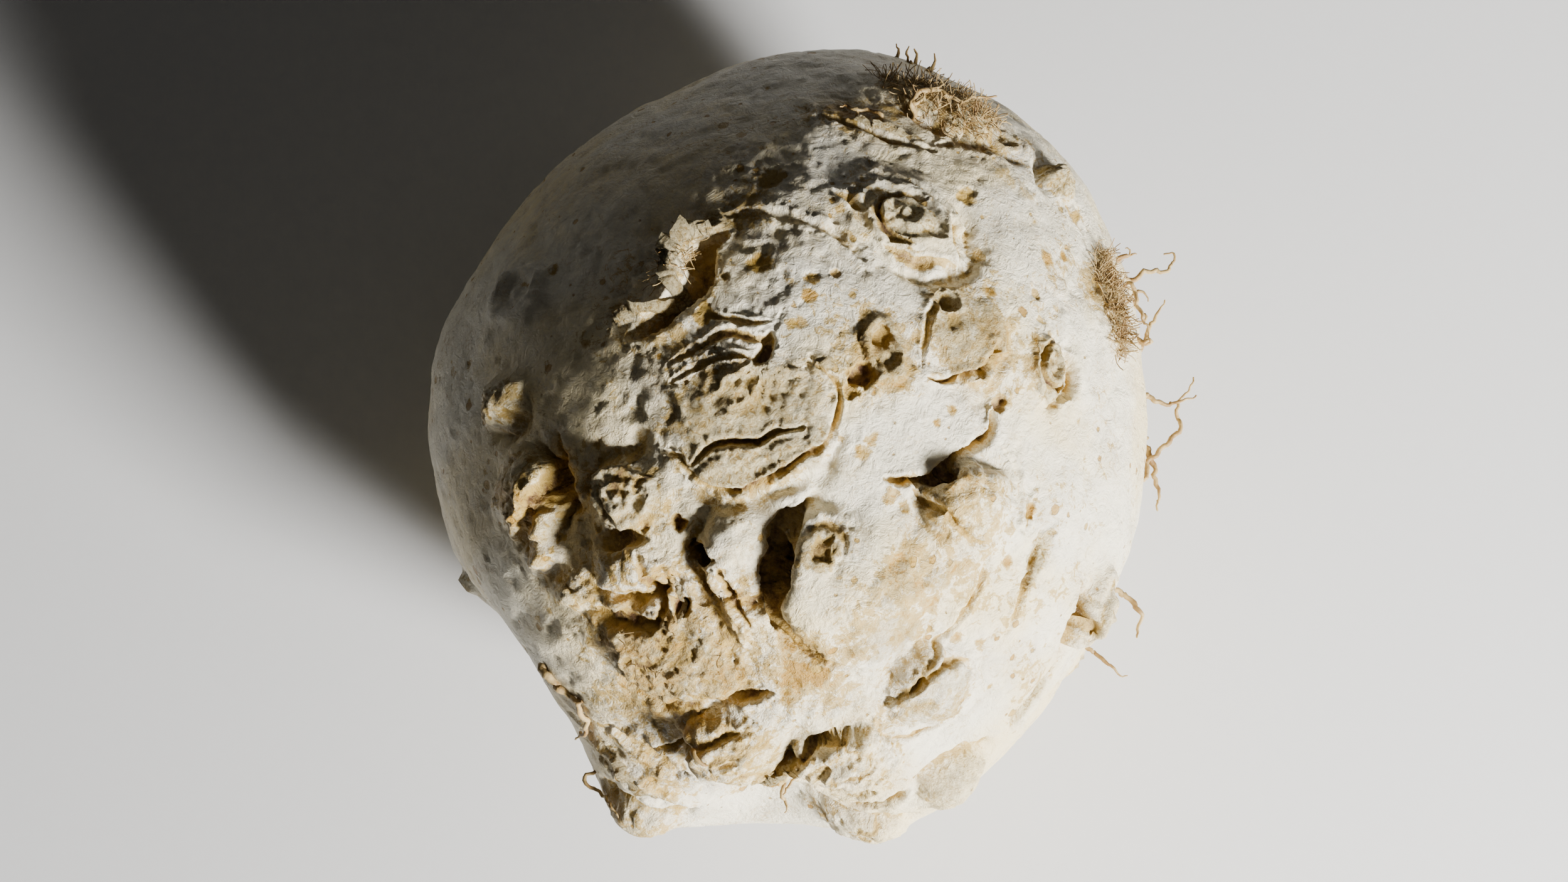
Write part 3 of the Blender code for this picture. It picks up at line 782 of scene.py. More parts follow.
def crown_ridges(points):
    """Level ridges where leaf stalks sat, on the flanks near the crown. Returns their grooves."""
    height = points[:, 2]
    turn = np.arctan2(points[:, 1], points[:, 0])
    wobble = 1.6 * np.sin(3 * turn) + 1.1 * np.sin(7 * turn + 1.0)
    wave = np.sin((height + wobble) * 2 * pi / CROWN_RIDGE_STEP)
    band = smooth_step(-20.0, -34.0, height) * smooth_step(-0.5, 0.3, np.sin(4 * turn + height / 6))
    outward = points / np.linalg.norm(points, axis=1)[:, None]
    points += outward * (1.1 * np.clip(wave, 0.0, 1.0) * band)[:, None]
    return band * smooth_step(0.2, -0.9, wave)


def fine_ball(wanted):
    """Unit directions and triangles of a ball. wanted gives, for a level of refinement, which
    directions need it."""
    ball = bmesh.new()
    bmesh.ops.create_icosphere(ball, subdivisions=BALL_SUBDIVISIONS, radius=1.0)
    for level in (0, 1, 2):
        middles = np.array([face.calc_center_median() for face in ball.faces])
        middles /= np.linalg.norm(middles, axis=1)[:, None]
        chosen = wanted(level, middles)
        edges = {edge for face, split in zip(ball.faces, chosen) if split for edge in face.edges}
        bmesh.ops.subdivide_edges(ball, edges=list(edges), cuts=1)
        bmesh.ops.triangulate(ball, faces=[face for face in ball.faces if len(face.verts) > 3])
        for vert in ball.verts:
            vert.co.normalize()
    mesh = bpy.data.meshes.new("ball")
    ball.to_mesh(mesh)
    ball.free()
    return mesh


def smooth_line(points, splits=4):
    """Unit directions along a smooth curve through map points."""
    corners = [np.array(p, dtype=float) for p in points]
    corners = [2 * corners[0] - corners[1], *corners, 2 * corners[-1] - corners[-2]]
    path = []
    for a, b, c, d in zip(corners, corners[1:], corners[2:], corners[3:]):
        for i in range(splits):
            t = i / splits
            curve = 2 * b + (c - a) * t + (2 * a - 5 * b + 4 * c - d) * t**2
            path.append(0.5 * (curve + (3 * b - a - 3 * c + d) * t**3))
    path.append(corners[-2])
    return np.array([on_map(*place) for place in path])


def line_reach(directions, path):
    """For each direction: how far it is from the path, which side it is on, and how far along."""
    nearest = np.full(len(directions), np.inf)
    side = np.zeros(len(directions))
    along = np.zeros(len(directions))
    for i, (a, b) in enumerate(zip(path, path[1:])):
        step = b - a
        share = np.clip((directions - a) @ step / (step @ step), 0.0, 1.0)
        gap = directions - (a + share[:, None] * step)
        distance = np.linalg.norm(gap, axis=1) * HALF_WIDTH
        closer = distance < nearest
        nearest[closer] = distance[closer]
        side[closer] = np.sign(gap[closer] @ np.cross(step, a))
        along[closer] = (i + share[closer]) / (len(path) - 1)
    return nearest, side, along


def near_line(directions, path, margin):
    """Which directions lie within a margin, in millimetres, of the circle round a path."""
    middle = path.mean(axis=0)
    spread = np.linalg.norm(path - middle, axis=1).max() + margin / HALF_WIDTH
    return np.linalg.norm(directions - middle, axis=1) < spread


def refine_here(level, directions):
    """Which directions need finer skin: scars, knobs and marks first, then cracks and pits."""
    if level == 0:
        return directions[:, 2] > SEEN_HEIGHT
    chosen = np.zeros(len(directions), dtype=bool)
    fineness = FINENESS[level]
    for growth in UPPER_GROWTHS:
        finish = FINISHES[growth.name]
        ringed = 0.5 if finish.rings > 2 else 0.0
        if max(finish.gnarl, finish.fibres, finish.tissue * 0.6, ringed) < fineness.rough:
            continue
        outward = direction(growth.azimuth, growth.elevation)
        along, across = skin_axes(outward, growth.turn)
        x = directions @ np.array(along) * HALF_WIDTH / growth.half_long
        y = directions @ np.array(across) * HALF_WIDTH / growth.half_wide
        chosen |= (np.hypot(x, y) < fineness.reach) & (directions @ np.array(outward) > 0)
    for region in REGIONS:
        if region.gnarl > fineness.gnarl:
            away = away_from(directions, region.x, region.y)
            chosen |= away < region.radius * fineness.share
    for mark in MARKS.values():
        path = smooth_line(mark.points)
        margin = fineness.margin + mark.width
        near = near_line(directions, path, margin)
        distance, _, _ = line_reach(directions[near], path)
        chosen[near] |= distance < margin
    for spot in SPOTS:
        if spot.brown > fineness.brown:
            margin = spot.radius + 0.6 * fineness.margin
            chosen |= away_from(directions, spot.x, spot.y) < margin
    return chosen


def paint(layers, name, near, strength):
    """Paints one layer at the near places, where the strength is more than is there already."""
    layers[name][near] = np.maximum(layers[name][near], strength)


def away_from(directions, x, y):
    """How far each direction is from a place on the map, in millimetres."""
    return np.linalg.norm(directions - np.array(on_map(x, y)), axis=1) * HALF_WIDTH


def raise_growth(points, growth):
    """Moves the points round one growth: a dome, dished or not, which is steep beside its moat
    and runs out softly into the skin elsewhere. Returns which points are near, their places in
    the growth's own axes, and how deep in its moat they lie: the moat is painted dark, partly its
    own brown and partly painted shade."""
    outward = direction(growth.azimuth, growth.elevation)
    along, across = skin_axes(outward, growth.turn)
    facing = points @ np.array(outward)
    side_on = np.linalg.norm(points - np.outer(facing, outward), axis=1)
    seat = points[np.argmin(np.where(facing > 0, side_on, np.inf))]
    offset = points - seat
    x = offset @ np.array(along) / growth.half_long
    y = offset @ np.array(across) / growth.half_wide
    near = (np.hypot(x, y) < 2.0) & (facing > 0)
    ragged = 1.0 + 0.2 * noise_at(points[near], 0.8 * growth.half_long, len(growth.name))
    x, y = x[near] * ragged, y[near] * ragged
    reach = np.hypot(x, y)
    moat_at = radians(growth.moat_at - growth.turn)
    side = (x * cos(moat_at) + y * sin(moat_at)) / np.maximum(reach, 1e-6)
    creased = smooth_step(-0.1, 0.9, side) if growth.moat else 0.0 * side
    steep = np.sqrt(np.clip(1.0 - reach**KNOB_SQUARENESS, 0.0, 1.0))
    soft = 1.0 - smooth_step(0.0, 1.45, reach)
    dome = creased * steep + (1.0 - creased) * soft
    dish = np.clip(1.0 - (reach / 0.72) ** 2, 0.0, 1.0)
    moat_width = MOAT_WIDTH / (growth.half_long * growth.half_wide) ** 0.5
    moat = creased * np.exp(-(((reach - 1.08) / moat_width) ** 2))
    lift = growth.height * dome - growth.dish * dish - growth.moat * moat
    leaning = np.array(along) * cos(moat_at) + np.array(across) * sin(moat_at)
    points[near] += np.outer(lift, outward) + np.outer(growth.lean * dome, leaning)
    return near, x, y, moat * min(growth.moat / 2.2, 1.0)


def finish_growth(growth, finish, near, x, y, crease_brown_and_shade, relief, layers):
    """Adds rings, fibres and folds to the relief of one growth, and paints its layers."""
    reach = np.hypot(x, y)
    places = np.column_stack((x * growth.half_long, y * growth.half_wide, np.full(len(x), 9.0)))
    seed = sum(map(ord, growth.name)) % 97
    ragged = reach + 0.12 * noise_at(places, 2.2, seed)
    inside = 1.0 - smooth_step(0.85, 1.25, ragged)
    lift = np.zeros(len(x))
    # painted shade: the moat beside a knob is painted dark, partly its own brown and partly the shade
    # in the crease
    groove = 0.75 * crease_brown_and_shade**2
    if finish.rings:
        ripple = np.cos(2 * pi * finish.rings * (reach + 0.06 * noise_at(places, 3.0, seed + 1)))
        lift += 0.7 / (1.0 + 0.45 * finish.rings) * ripple * inside
        broken = smooth_step(-0.4, 0.3, noise_at(places, 2.4, seed + 3))
        groove += 0.45 * np.clip(-ripple, 0.0, 1.0) ** 3 * inside * broken
    if finish.fibres:
        turn = np.arctan2(y, x)
        spokes = np.column_stack((np.cos(turn) * 5, np.sin(turn) * 5, reach * 1.5))
        strands = noise_at(spokes, 0.8, seed + 2, 2)
        band = smooth_step(0.15, 0.4, reach) * inside
        lift += finish.fibres * strands * band
        groove += 0.55 * smooth_step(0.05, 0.5, -strands) * band * min(finish.fibres * 2, 1.0)
    tissue = finish.tissue * (1.0 - smooth_step(-0.12, 0.1, ragged - finish.tissue_reach))
    relief[near] += lift
    paint(layers, "groove", near, groove)
    paint(layers, "tissue", near, tissue)
    paint(layers, "gnarl", near, finish.gnarl * inside)
    blotches = 0.5 + 0.5 * noise_at(places, 3.2, seed + 5)
    paint(layers, "stain", near, finish.ochre * blotches * inside)
    paint(layers, "grime", near, finish.grime * inside)
    paint(layers, "hair", near, finish.hair * inside)


def add_fan(fan, directions, relief, layers):
    """Wrinkles that spread out from one point, over a part of a turn."""
    middle = on_map(fan.x, fan.y)
    along, across = skin_axes(middle)
    x = directions @ np.array(along) * HALF_WIDTH
    y = directions @ np.array(across) * HALF_WIDTH
    near = (np.hypot(x, y) < fan.radius * 1.3) & (directions @ np.array(middle) > 0)
    x, y = x[near], y[near]
    reach = np.hypot(x, y) / fan.radius
    turn = np.arctan2(y, x) - radians(fan.towards)
    turn = np.abs((turn + pi) % (2 * pi) - pi)
    window = (1.0 - smooth_step(0.7, 1.2, reach)) * smooth_step(0.08, 0.3, reach)
    window *= 1.0 - smooth_step(0.6, 1.0, turn / radians(fan.spread))
    bend = np.arctan2(y, x) + 0.25 * noise_at(np.column_stack((x, y, x * 0)), 4.0, 61)
    spokes = np.column_stack((np.cos(bend) * 5, np.sin(bend) * 5, reach * 0.9))
    strands = noise_at(spokes, 0.9, 62, 2)
    relief[near] += fan.height * (np.abs(strands) - 0.3) * window
    valley = (1.0 - smooth_step(0.0, 0.22, np.abs(strands))) * window
    paint(layers, "groove", near, fan.brown * valley)
    paint(layers, "tissue", near, fan.tissue * window)


def folds_at(places):
    """Creases like those of bark, rounded ridges with sharp valleys that run down the skin.
    Returns the height, about -0.5 to 1, and how far each place is down a valley."""
    bent = places + 4.0 * noise_at(places, 14.0, 71, 2)[:, None]
    bent += 1.3 * noise_at(places, 4.0, 72)[:, None]
    across = 0.88 * bent[:, 0] + 0.48 * bent[:, 1]
    along = 0.88 * bent[:, 1] - 0.48 * bent[:, 0]
    height = bent[:, 2]
    coarse = noise_at(np.column_stack((across / 3.4, along / 7.5, height / 5.0)), 1.0, 73, 1)
    fine = noise_at(np.column_stack((across / 1.4, along / 4.0, height / 2.6)), 1.0, 74, 1)
    lumps = noise_at(bent, 7.0, 75, 2)
    raised = 1.5 * np.abs(coarse) + 0.6 * np.abs(fine) + 1.0 * lumps - 0.5
    valley = 0.8 * (1.0 - smooth_step(0.0, 0.10, np.abs(coarse)))
    valley = np.maximum(valley, 0.55 * (1.0 - smooth_step(0.0, 0.09, np.abs(fine))))
    valley *= smooth_step(-0.45, 0.25, noise_at(places, 4.0, 76))
    return raised, valley


def add_folds(directions, relief, layers):
    """Creases the skin wherever it is gnarled."""
    for region in REGIONS:
        away = away_from(directions, region.x, region.y)
        share = np.exp(-((away / region.radius) ** 2))
        for layer in ("gnarl", "stain", "grime"):
            layers[layer] += getattr(region, layer) * share * (1.0 - np.minimum(layers[layer], 1.0))
    near = layers["gnarl"] > 0.02
    height, valley = folds_at(directions[near] * HALF_WIDTH)
    gnarl = layers["gnarl"][near]
    relief[near] += gnarl * height
    paint(layers, "groove", near, smooth_step(0.05, 0.6, gnarl) * valley)


def add_mark(mark, directions, normals, relief, slides, layers):
    """Carves or raises one mark, tapered towards both ends, and paints its bottom dark brown, partly
    its own brown and partly painted shade.
    """
    path = smooth_line(mark.points)
    near = near_line(directions, path, 3 * mark.width)
    distance, side, along = line_reach(directions[near], path)
    places = directions[near] * HALF_WIDTH
    taper = np.clip(np.sin(pi * (0.06 + 0.88 * along)), 0.0, 1.0) ** 0.55
    width = mark.width * taper * (1.0 + 0.35 * noise_at(places, 2.5, 31))
    away = distance / np.maximum(width, 0.05)
    wall = 1.0 - smooth_step(0.25, 1.4, away)
    relief[near] += mark.height * taper * wall
    if mark.height < 0:
        relief[near] += 0.22 * abs(mark.height) ** 0.5 * taper * np.exp(-((away - 2.0) ** 2) * 2)
    # painted shade: the mark's bottom is painted dark brown, partly the crack's own brown and partly
    # the shade inside it
    floor = mark.brown * (1.0 - smooth_step(0.3, 1.3, away)) * taper
    paint(layers, "groove", near, floor)
    fringe = 0.55 * mark.brown * (1.0 - smooth_step(0.8, 3.2, away)) * taper
    paint(layers, "stain", near, fringe)
    if mark.slide:
        ahead = (path[-1] - path[0]) / np.linalg.norm(path[-1] - path[0])
        across = np.cross(normals[near], ahead)
        lip = np.exp(-((away - 1.4) ** 2)) * (side * np.sign(mark.slide) > 0) * taper
        slides[near] += across * (mark.slide * lip)[:, None]


def add_spot(spot, directions, relief, layers):
    """A round pit or bump with a ragged edge."""
    away = away_from(directions, spot.x, spot.y)
    near = away < spot.radius * 2.8
    reach = away[near] / (SPOT_SPREAD * spot.radius)
    reach += 0.45 * noise_at(directions[near] * HALF_WIDTH, 1.3, 41)
    mound = 1.0 - smooth_step(0.3, 1.2, reach)
    relief[near] += spot.height * mound
    for layer, share in (
        ("groove", spot.brown),
        ("tissue", spot.tissue),
        ("stain", SPOT_STAIN * spot.stain),
        ("grime", spot.grime),
    ):
        painted = share * (1.0 - smooth_step(0.5, 1.3, reach))
        paint(layers, layer, near, painted)


def scattered_spots():
    """Small rust specks, pores and blisters all over the skin, as directions with sizes."""
    chance = Random(23)
    made = []
    for _ in range(FLANK_SPECKS):
        place = Vector([chance.gauss(0, 1) for _ in range(3)]).normalized()
        radius = chance.uniform(0.35, 0.6) if chance.random() < 0.75 else chance.uniform(0.7, 1.3)
        brown = chance.choice((0.35, 0.5, 0.75))
        made.append((np.array(place), radius, chance.uniform(-0.5, 0.12), brown))
    return made


def add_scattered_spots(directions, relief, layers):
    for place, radius, height, brown in scattered_spots():
        away = np.linalg.norm(directions - place, axis=1) * HALF_WIDTH
        near = away < radius * 2
        reach = away[near] / radius
        mound = 1.0 - smooth_step(0.2, 1.4, reach)
        relief[near] += height * mound
        paint(layers, "groove", near, 0.6 * brown * mound)
        paint(layers, "stain", near, brown * mound)


def crown_cut(points, layers):
    """Presses the underside flat where the leaves were cut off, with rings of stalk bases."""
    below = points[:, 2] < -CROWN_CUT_DEPTH
    reach = np.hypot(points[:, 0], points[:, 1])
    wobble = 1.5 * noise_at(points * (1, 1, 0), 9.0, 51)
    rings = 0.5 + 0.5 * np.sin(reach * 2 * pi / CROWN_RING_STEP + wobble)
    points[below, 2] = -CROWN_CUT_DEPTH + 0.35 * rings[below]
    layers["crown"][:] = smooth_step(-CROWN_CUT_DEPTH + 1.5, -CROWN_CUT_DEPTH + 0.6, points[:, 2])
    layers["groove"][below] = 0.25 * rings[below]


@cache
def skin():
    """The body's mesh in the frame's metres, with its painted layers as attributes."""
    mesh = fine_ball(refine_here)
    count = len(mesh.vertices)
    directions = np.zeros(count * 3)
    mesh.vertices.foreach_get("co", directions)
    directions = directions.reshape(-1, 3)
    directions /= np.linalg.norm(directions, axis=1)[:, None]
    layers = {name: np.zeros(count) for name in LAYERS}
    relief = np.zeros(count)
    points = directions * body_radius(directions)[:, None]
    layers["groove"] += 0.35 * crown_ridges(points)
    for growth in (*UPPER_GROWTHS, *lower_growths()):
        near, x, y, crease_brown_and_shade = raise_growth(points, growth)
        finish = FINISHES.get(growth.name) or flank_finish(growth)
        finish_growth(growth, finish, near, x, y, crease_brown_and_shade, relief, layers)
    normals = point_normals(mesh, points)
    slides = np.zeros_like(points)
    add_folds(directions, relief, layers)
    for fan in FANS:
        add_fan(fan, directions, relief, layers)
    for mark in MARKS.values():
        add_mark(mark, directions, normals, relief, slides, layers)
    for spot in SPOTS:
        add_spot(spot, directions, relief, layers)
    add_scattered_spots(directions, relief, layers)
    points += normals * relief[:, None] + slides
    crown_cut(points, layers)
    low, high = points.min(axis=0), points.max(axis=0)
    middle = (np.array(BODY_LOW) + np.array(BODY_HIGH)) / (2 * MM)
    shift = Vector((*(middle - (low + high) / 2)[:2], CROWN_CUT_DEPTH))
    mesh.vertices.foreach_set("co", ((points + np.array(shift)) * MM).ravel())
    mesh.update()
    for name, values in layers.items():
        layer = mesh.attributes.new(name, "FLOAT", "POINT")
        layer.data.foreach_set("value", np.clip(values, 0.0, 1.0))
    return mesh, shift


@cache
def skin_surface():
    """The skin as a tree that finds the nearest place on it, and the shift of the body's middle."""
    mesh, shift = skin()
    corners = [vert.co for vert in mesh.vertices]
    return BVHTree.FromPolygons(corners, [tuple(face.vertices) for face in mesh.polygons]), shift


def point_normals(mesh, points):
    """The smooth normals of a mesh whose vertices are moved to the points."""
    mesh.vertices.foreach_set("co", points.ravel())
    mesh.update()
    normals = np.zeros(len(mesh.vertices) * 3)
    mesh.vertices.foreach_get("normal", normals)
    return normals.reshape(-1, 3)


class Graph:
    """Adds nodes to a node tree. An input given as a socket is linked, any other is set."""

    def __init__(self, tree):
        self.tree = tree

    def node(self, kind, inputs=None, **settings):
        made = self.tree.nodes.new(kind)
        for name, value in settings.items():
            setattr(made, name, value)
        for key, value in (inputs or {}).items():
            if isinstance(value, bpy.types.NodeSocket):
                self.tree.links.new(value, made.inputs[key])
            else:
                made.inputs[key].default_value = value
        return made

    def math(self, operation, first, second=0.0, clamp=False):
        inputs = {0: first, 1: second}
        return self.node("ShaderNodeMath", inputs, operation=operation, use_clamp=clamp).outputs[0]

    def times(self, first, second):
        return self.math("MULTIPLY", first, second)

    def plus(self, first, second):
        return self.math("ADD", first, second)

    def centred(self, value):
        """Noise moved to lie about zero."""
        return self.math("SUBTRACT", value, 0.5)

    def folded(self, value):
        """Noise folded at its middle, so that it has sharp valleys at zero."""
        return self.math("ABSOLUTE", self.centred(value))

    def mix(self, share, first, second):
        inputs = {0: share, 6: first, 7: second}
        return self.node("ShaderNodeMix", inputs, data_type="RGBA").outputs[2]

    def step(self, value, low, high):
        """0 at low, 1 at high, smooth between."""
        inputs = {"Value": value, "From Min": low, "From Max": high}
        return self.node("ShaderNodeMapRange", inputs, interpolation_type="SMOOTHSTEP").outputs[0]

    def noise(self, place, size, detail=3.0, roughness=0.5, distortion=0.0):
        inputs = {
            "Vector": place,
            "Scale": 1.0 / size,
            "Detail": detail,
            "Roughness": roughness,
            "Distortion": distortion,
        }
        return self.node("ShaderNodeTexNoise", inputs).outputs[0]

    def scaled(self, place, *factors):
        inputs = {0: place, 1: factors}
        return self.node("ShaderNodeVectorMath", inputs, operation="MULTIPLY").outputs[0]

    def layer(self, name):
        return self.node("ShaderNodeAttribute", attribute_name=name).outputs["Fac"]


def new_material(name):
    """An empty shader graph that ends in a Principled BSDF."""
    material = bpy.data.materials.new(name)
    material.use_nodes = True
    graph = Graph(material.node_tree)
    return material, graph, material.node_tree.nodes["Principled BSDF"]


def millimetres(graph):
    """Object coordinates in millimetres."""
    place = graph.node("ShaderNodeTexCoord").outputs["Object"]
    return graph.scaled(place, *MILLIS)


def add_bump(graph, shader, height, strength, distance):
    inputs = {"Strength": strength, "Distance": distance, "Height": height}
    bump = graph.node("ShaderNodeBump", inputs)
    graph.tree.links.new(bump.outputs[0], shader.inputs["Normal"])


def clean_skin(graph, place, fine, cloudy, looks):
    """Ivory skin with warm patches, dull clouds, thin ochre veins and grey earth."""
    broad = graph.noise(place, 24, detail=3, roughness=0.55)
    colour = graph.mix(graph.step(broad, 0.40, 0.60), looks.skin_colour, looks.warm_colour)
    clouds = graph.times(graph.step(cloudy, 0.50, 0.72), 0.7)
    colour = graph.mix(clouds, colour, looks.shade_colour)
    crumbs = graph.times(graph.step(fine, 0.50, 0.68), 0.55)
    colour = graph.mix(crumbs, colour, looks.shade_colour)

    stretched = graph.scaled(place, 1.0, 1.0, 0.6)
    veins = graph.folded(graph.noise(stretched, 5, detail=4, roughness=0.6, distortion=1.8))
    veins = graph.times(graph.step(veins, 0.022, 0.0), graph.step(cloudy, 0.45, 0.6))
    colour = graph.mix(graph.times(veins, 0.55), colour, looks.ochre_colour)

    earth = graph.noise(place, 2.2, detail=6, roughness=0.75)
    dirt = graph.times(graph.layer("grime"), graph.step(earth, 0.32, 0.60))
    return graph.mix(graph.times(dirt, 0.8), colour, looks.grime_colour)


def stained_skin(graph, colour, place, fine, looks):
    """Ochre and rust blotches, a net of fine brown lines, and specks. Returns the specks too."""
    stain = graph.layer("stain")
    clusters = graph.step(graph.noise(place, 11, detail=2, roughness=0.5), 0.42, 0.66)
    clusters = graph.times(clusters, 0.22)
    blotches = graph.noise(place, 1.6, detail=6, roughness=0.75, distortion=0.6)
    ochre = graph.plus(graph.times(stain, 0.5), clusters)
    ochre = graph.plus(ochre, graph.times(blotches, 1.4))
    ochre_share = graph.times(graph.step(ochre, 1.0, 1.1), 0.8)
    rust_share = graph.times(graph.step(ochre, 1.20, 1.32), 0.85)
    colour = graph.mix(ochre_share, colour, looks.ochre_colour)
    colour = graph.mix(rust_share, colour, looks.rust_colour)

    net = graph.folded(graph.noise(place, 2.2, detail=6, roughness=0.75, distortion=1.5))
    net = graph.times(graph.step(net, 0.035, 0.0), graph.step(stain, 0.15, 0.5))
    colour = graph.mix(graph.times(net, 0.6), colour, looks.bark_colour)

    cells = graph.node("ShaderNodeTexVoronoi", {"Vector": place, "Scale": 0.38, "Randomness": 1.0})
    pick = graph.node("ShaderNodeSeparateColor", {"Color": cells.outputs["Color"]})
    size = graph.times(graph.step(pick.outputs[0], 0.25, 1.0), graph.plus(clusters, 0.10))
    ragged = graph.plus(cells.outputs["Distance"], graph.times(graph.centred(fine), 0.5))
    speck = graph.step(graph.math("SUBTRACT", ragged, size), 0.03, -0.04)
    speck_colour = graph.mix(pick.outputs[1], looks.ochre_colour, looks.rust_colour)
    return graph.mix(graph.times(speck, 0.9), colour, speck_colour), speck


def torn_skin(graph, colour, fine, cloudy, fibre, looks):
    """Straw tissue where the skin is torn, golden where stained. Returns how bare it is too."""
    straw = graph.mix(graph.step(fibre, 0.40, 0.54), looks.bark_colour, looks.tissue_colour)
    golden = graph.step(graph.layer("stain"), 0.3, 1.0)
    golden = graph.times(golden, graph.step(cloudy, 0.40, 0.58))
    straw = graph.mix(graph.times(golden, 0.6), straw, looks.ochre_colour)
    edge = graph.plus(graph.layer("tissue"), graph.times(graph.centred(fine), 1.2))
    bare = graph.times(graph.step(edge, 0.15, 0.8), 0.85)
    return graph.mix(bare, colour, straw), bare


def cracked_skin(graph, colour, fine, fibre, looks):
    """Dark brown cracks with ochre edges, and the dried flesh of the crown cut. The darkest crack
    colour is partly the cracks' own brown and partly painted shade.
    """
    deep = graph.plus(graph.layer("groove"), graph.times(graph.centred(fine), 1.1))
    rim = graph.times(graph.step(deep, 0.20, 0.42), 0.85)
    colour = graph.mix(rim, colour, looks.ochre_colour)
    # painted shade: the deepest groove paint turns near black, partly the cracks' own brown and partly
    # their shade
    colour = graph.mix(graph.step(deep, 0.50, 0.95), colour, looks.crack_brown_and_shade_colour)
    flesh = graph.mix(graph.step(fibre, 0.35, 0.65), looks.cut_colour, looks.tissue_colour)
    return graph.mix(graph.times(graph.layer("crown"), 0.8), colour, flesh)


def skin_height(graph, place, fibre, bare, speck):
    """Fine grain, soft crumples and torn fibres, for the bump."""
    flattened = graph.scaled(place, 1.0, 1.0, 0.7)
    grain = graph.noise(flattened, 0.9, detail=6, roughness=0.7, distortion=0.5)
    crumple = graph.folded(graph.noise(place, 2.4, detail=4, roughness=0.6, distortion=0.8))
    knots = graph.noise(place, 0.7, detail=4, roughness=0.6, distortion=1.0)
    crust = graph.times(fibre, graph.plus(graph.times(bare, 1.6), 0.2))
    crust = graph.plus(crust, graph.times(graph.layer("gnarl"), knots))
    height = graph.plus(graph.times(grain, 0.6), crust)
    height = graph.plus(height, graph.times(crumple, -1.6))
    return graph.math("SUBTRACT", height, graph.times(speck, 0.4))


def skin_material(looks):
    """Ivory skin with rust specks, dark brown cracks that are partly painted shade, tan torn tissue and
    grey grime.
    """
    material, graph, shader = new_material("celeriac_skin_finish")
    place = millimetres(graph)
    cloudy = graph.noise(place, 7, detail=5, roughness=0.65, distortion=0.6)
    fine = graph.noise(place, 1.5, detail=6, roughness=0.75)
    fibre = graph.noise(place, 0.9, detail=7, roughness=0.75, distortion=0.8)
    colour = clean_skin(graph, place, fine, cloudy, looks)
    colour, speck = stained_skin(graph, colour, place, fine, looks)
    colour, bare = torn_skin(graph, colour, fine, cloudy, fibre, looks)
    colour = cracked_skin(graph, colour, fine, fibre, looks)
    graph.tree.links.new(colour, shader.inputs["Base Color"])
    rough = graph.plus(graph.times(bare, 0.25), graph.times(fine, 0.3))
    rough = graph.math("ADD", rough, 0.34, clamp=True)
    graph.tree.links.new(rough, shader.inputs["Roughness"])
    shader.inputs["Specular IOR Level"].default_value = 0.45
    shader.inputs["Subsurface Weight"].default_value = 0.05
    shader.inputs["Subsurface Radius"].default_value = (0.0025, 0.0016, 0.0010)
    height = skin_height(graph, place, fibre, bare, speck)
    add_bump(graph, shader, height, strength=0.9, distance=0.0005)
    return material


def rootlet_material(looks):
    """Dry side root: straw to brown in patches, with brown flecks that also give its fine bump."""
    material, graph, shader = new_material("dry_rootlet_finish")
    place = millimetres(graph)
    patches = graph.noise(place, 2.6, detail=4, roughness=0.6)
    colour = graph.mix(graph.step(patches, 0.38, 0.66), looks.pale_colour, looks.brown_colour)
    flecks = graph.noise(place, 0.4, detail=3, roughness=0.6)
    flecked = graph.times(graph.step(flecks, 0.55, 0.7), 0.5)
    colour = graph.mix(flecked, colour, looks.brown_colour)
    graph.tree.links.new(colour, shader.inputs["Base Color"])
    shader.inputs["Roughness"].default_value = 0.6
    add_bump(graph, shader, flecks, strength=0.6, distance=0.0001)
    return material


def floor_material(stage):
    """Matt pale paper with a barely visible grain."""
    material, graph, shader = new_material("studio_paper")
    grain = graph.noise(millimetres(graph), 3.0, detail=4, roughness=0.6)
    shade = tuple(0.96 * channel for channel in stage.floor_colour[:3]) + (1.0,)
    colour = graph.mix(grain, tuple(stage.floor_colour), shade)
    graph.tree.links.new(colour, shader.inputs["Base Color"])
    shader.inputs["Roughness"].default_value = 0.85
    return material


def geometry_tree(name, inputs):
    """A geometry node tree with named inputs, and its graph, input and output nodes."""
    tree = bpy.data.node_groups.new(name, "GeometryNodeTree")
    tree.interface.new_socket("Geometry", in_out="INPUT", socket_type="NodeSocketGeometry")
    for label, (kind, _) in inputs.items():
        tree.interface.new_socket(label, in_out="INPUT", socket_type=kind)
    tree.interface.new_socket("Geometry", in_out="OUTPUT", socket_type="NodeSocketGeometry")
    graph = Graph(tree)
    given = graph.node("NodeGroupInput").outputs
    result = graph.node("NodeGroupOutput").inputs[0]
    return tree, graph, given, result


def add_geometry_modifier(thing, tree, inputs):
    """Adds the tree as a modifier and sets its inputs by their identifiers."""
    modifier = thing.modifiers.new(tree.name, "NODES")
    modifier.node_group = tree
    for socket in tree.interface.items_tree:
        if socket.in_out == "INPUT" and socket.name in inputs:
            modifier[socket.identifier] = inputs[socket.name][1]


def finish_tree(graph, geometry, material, result):
    """Realizes the instances and sets the material, which is how every tree ends."""
    real = graph.node("GeometryNodeRealizeInstances", {0: geometry}).outputs[0]
    done = graph.node("GeometryNodeSetMaterial", {"Geometry": real})
    done.inputs["Material"].default_value = material
    graph.tree.links.new(done.outputs[0], result)


def plain_mesh(thing, name):
    """Turns an object with its modifiers into a plain mesh object of the given name."""
    graph = bpy.context.evaluated_depsgraph_get()
    mesh = bpy.data.meshes.new_from_object(thing.evaluated_get(graph), depsgraph=graph)
    bpy.data.objects.remove(thing)
    mesh.name = name
    piece = bpy.data.objects.new(name, mesh)
    bpy.context.collection.objects.link(piece)
    return piece


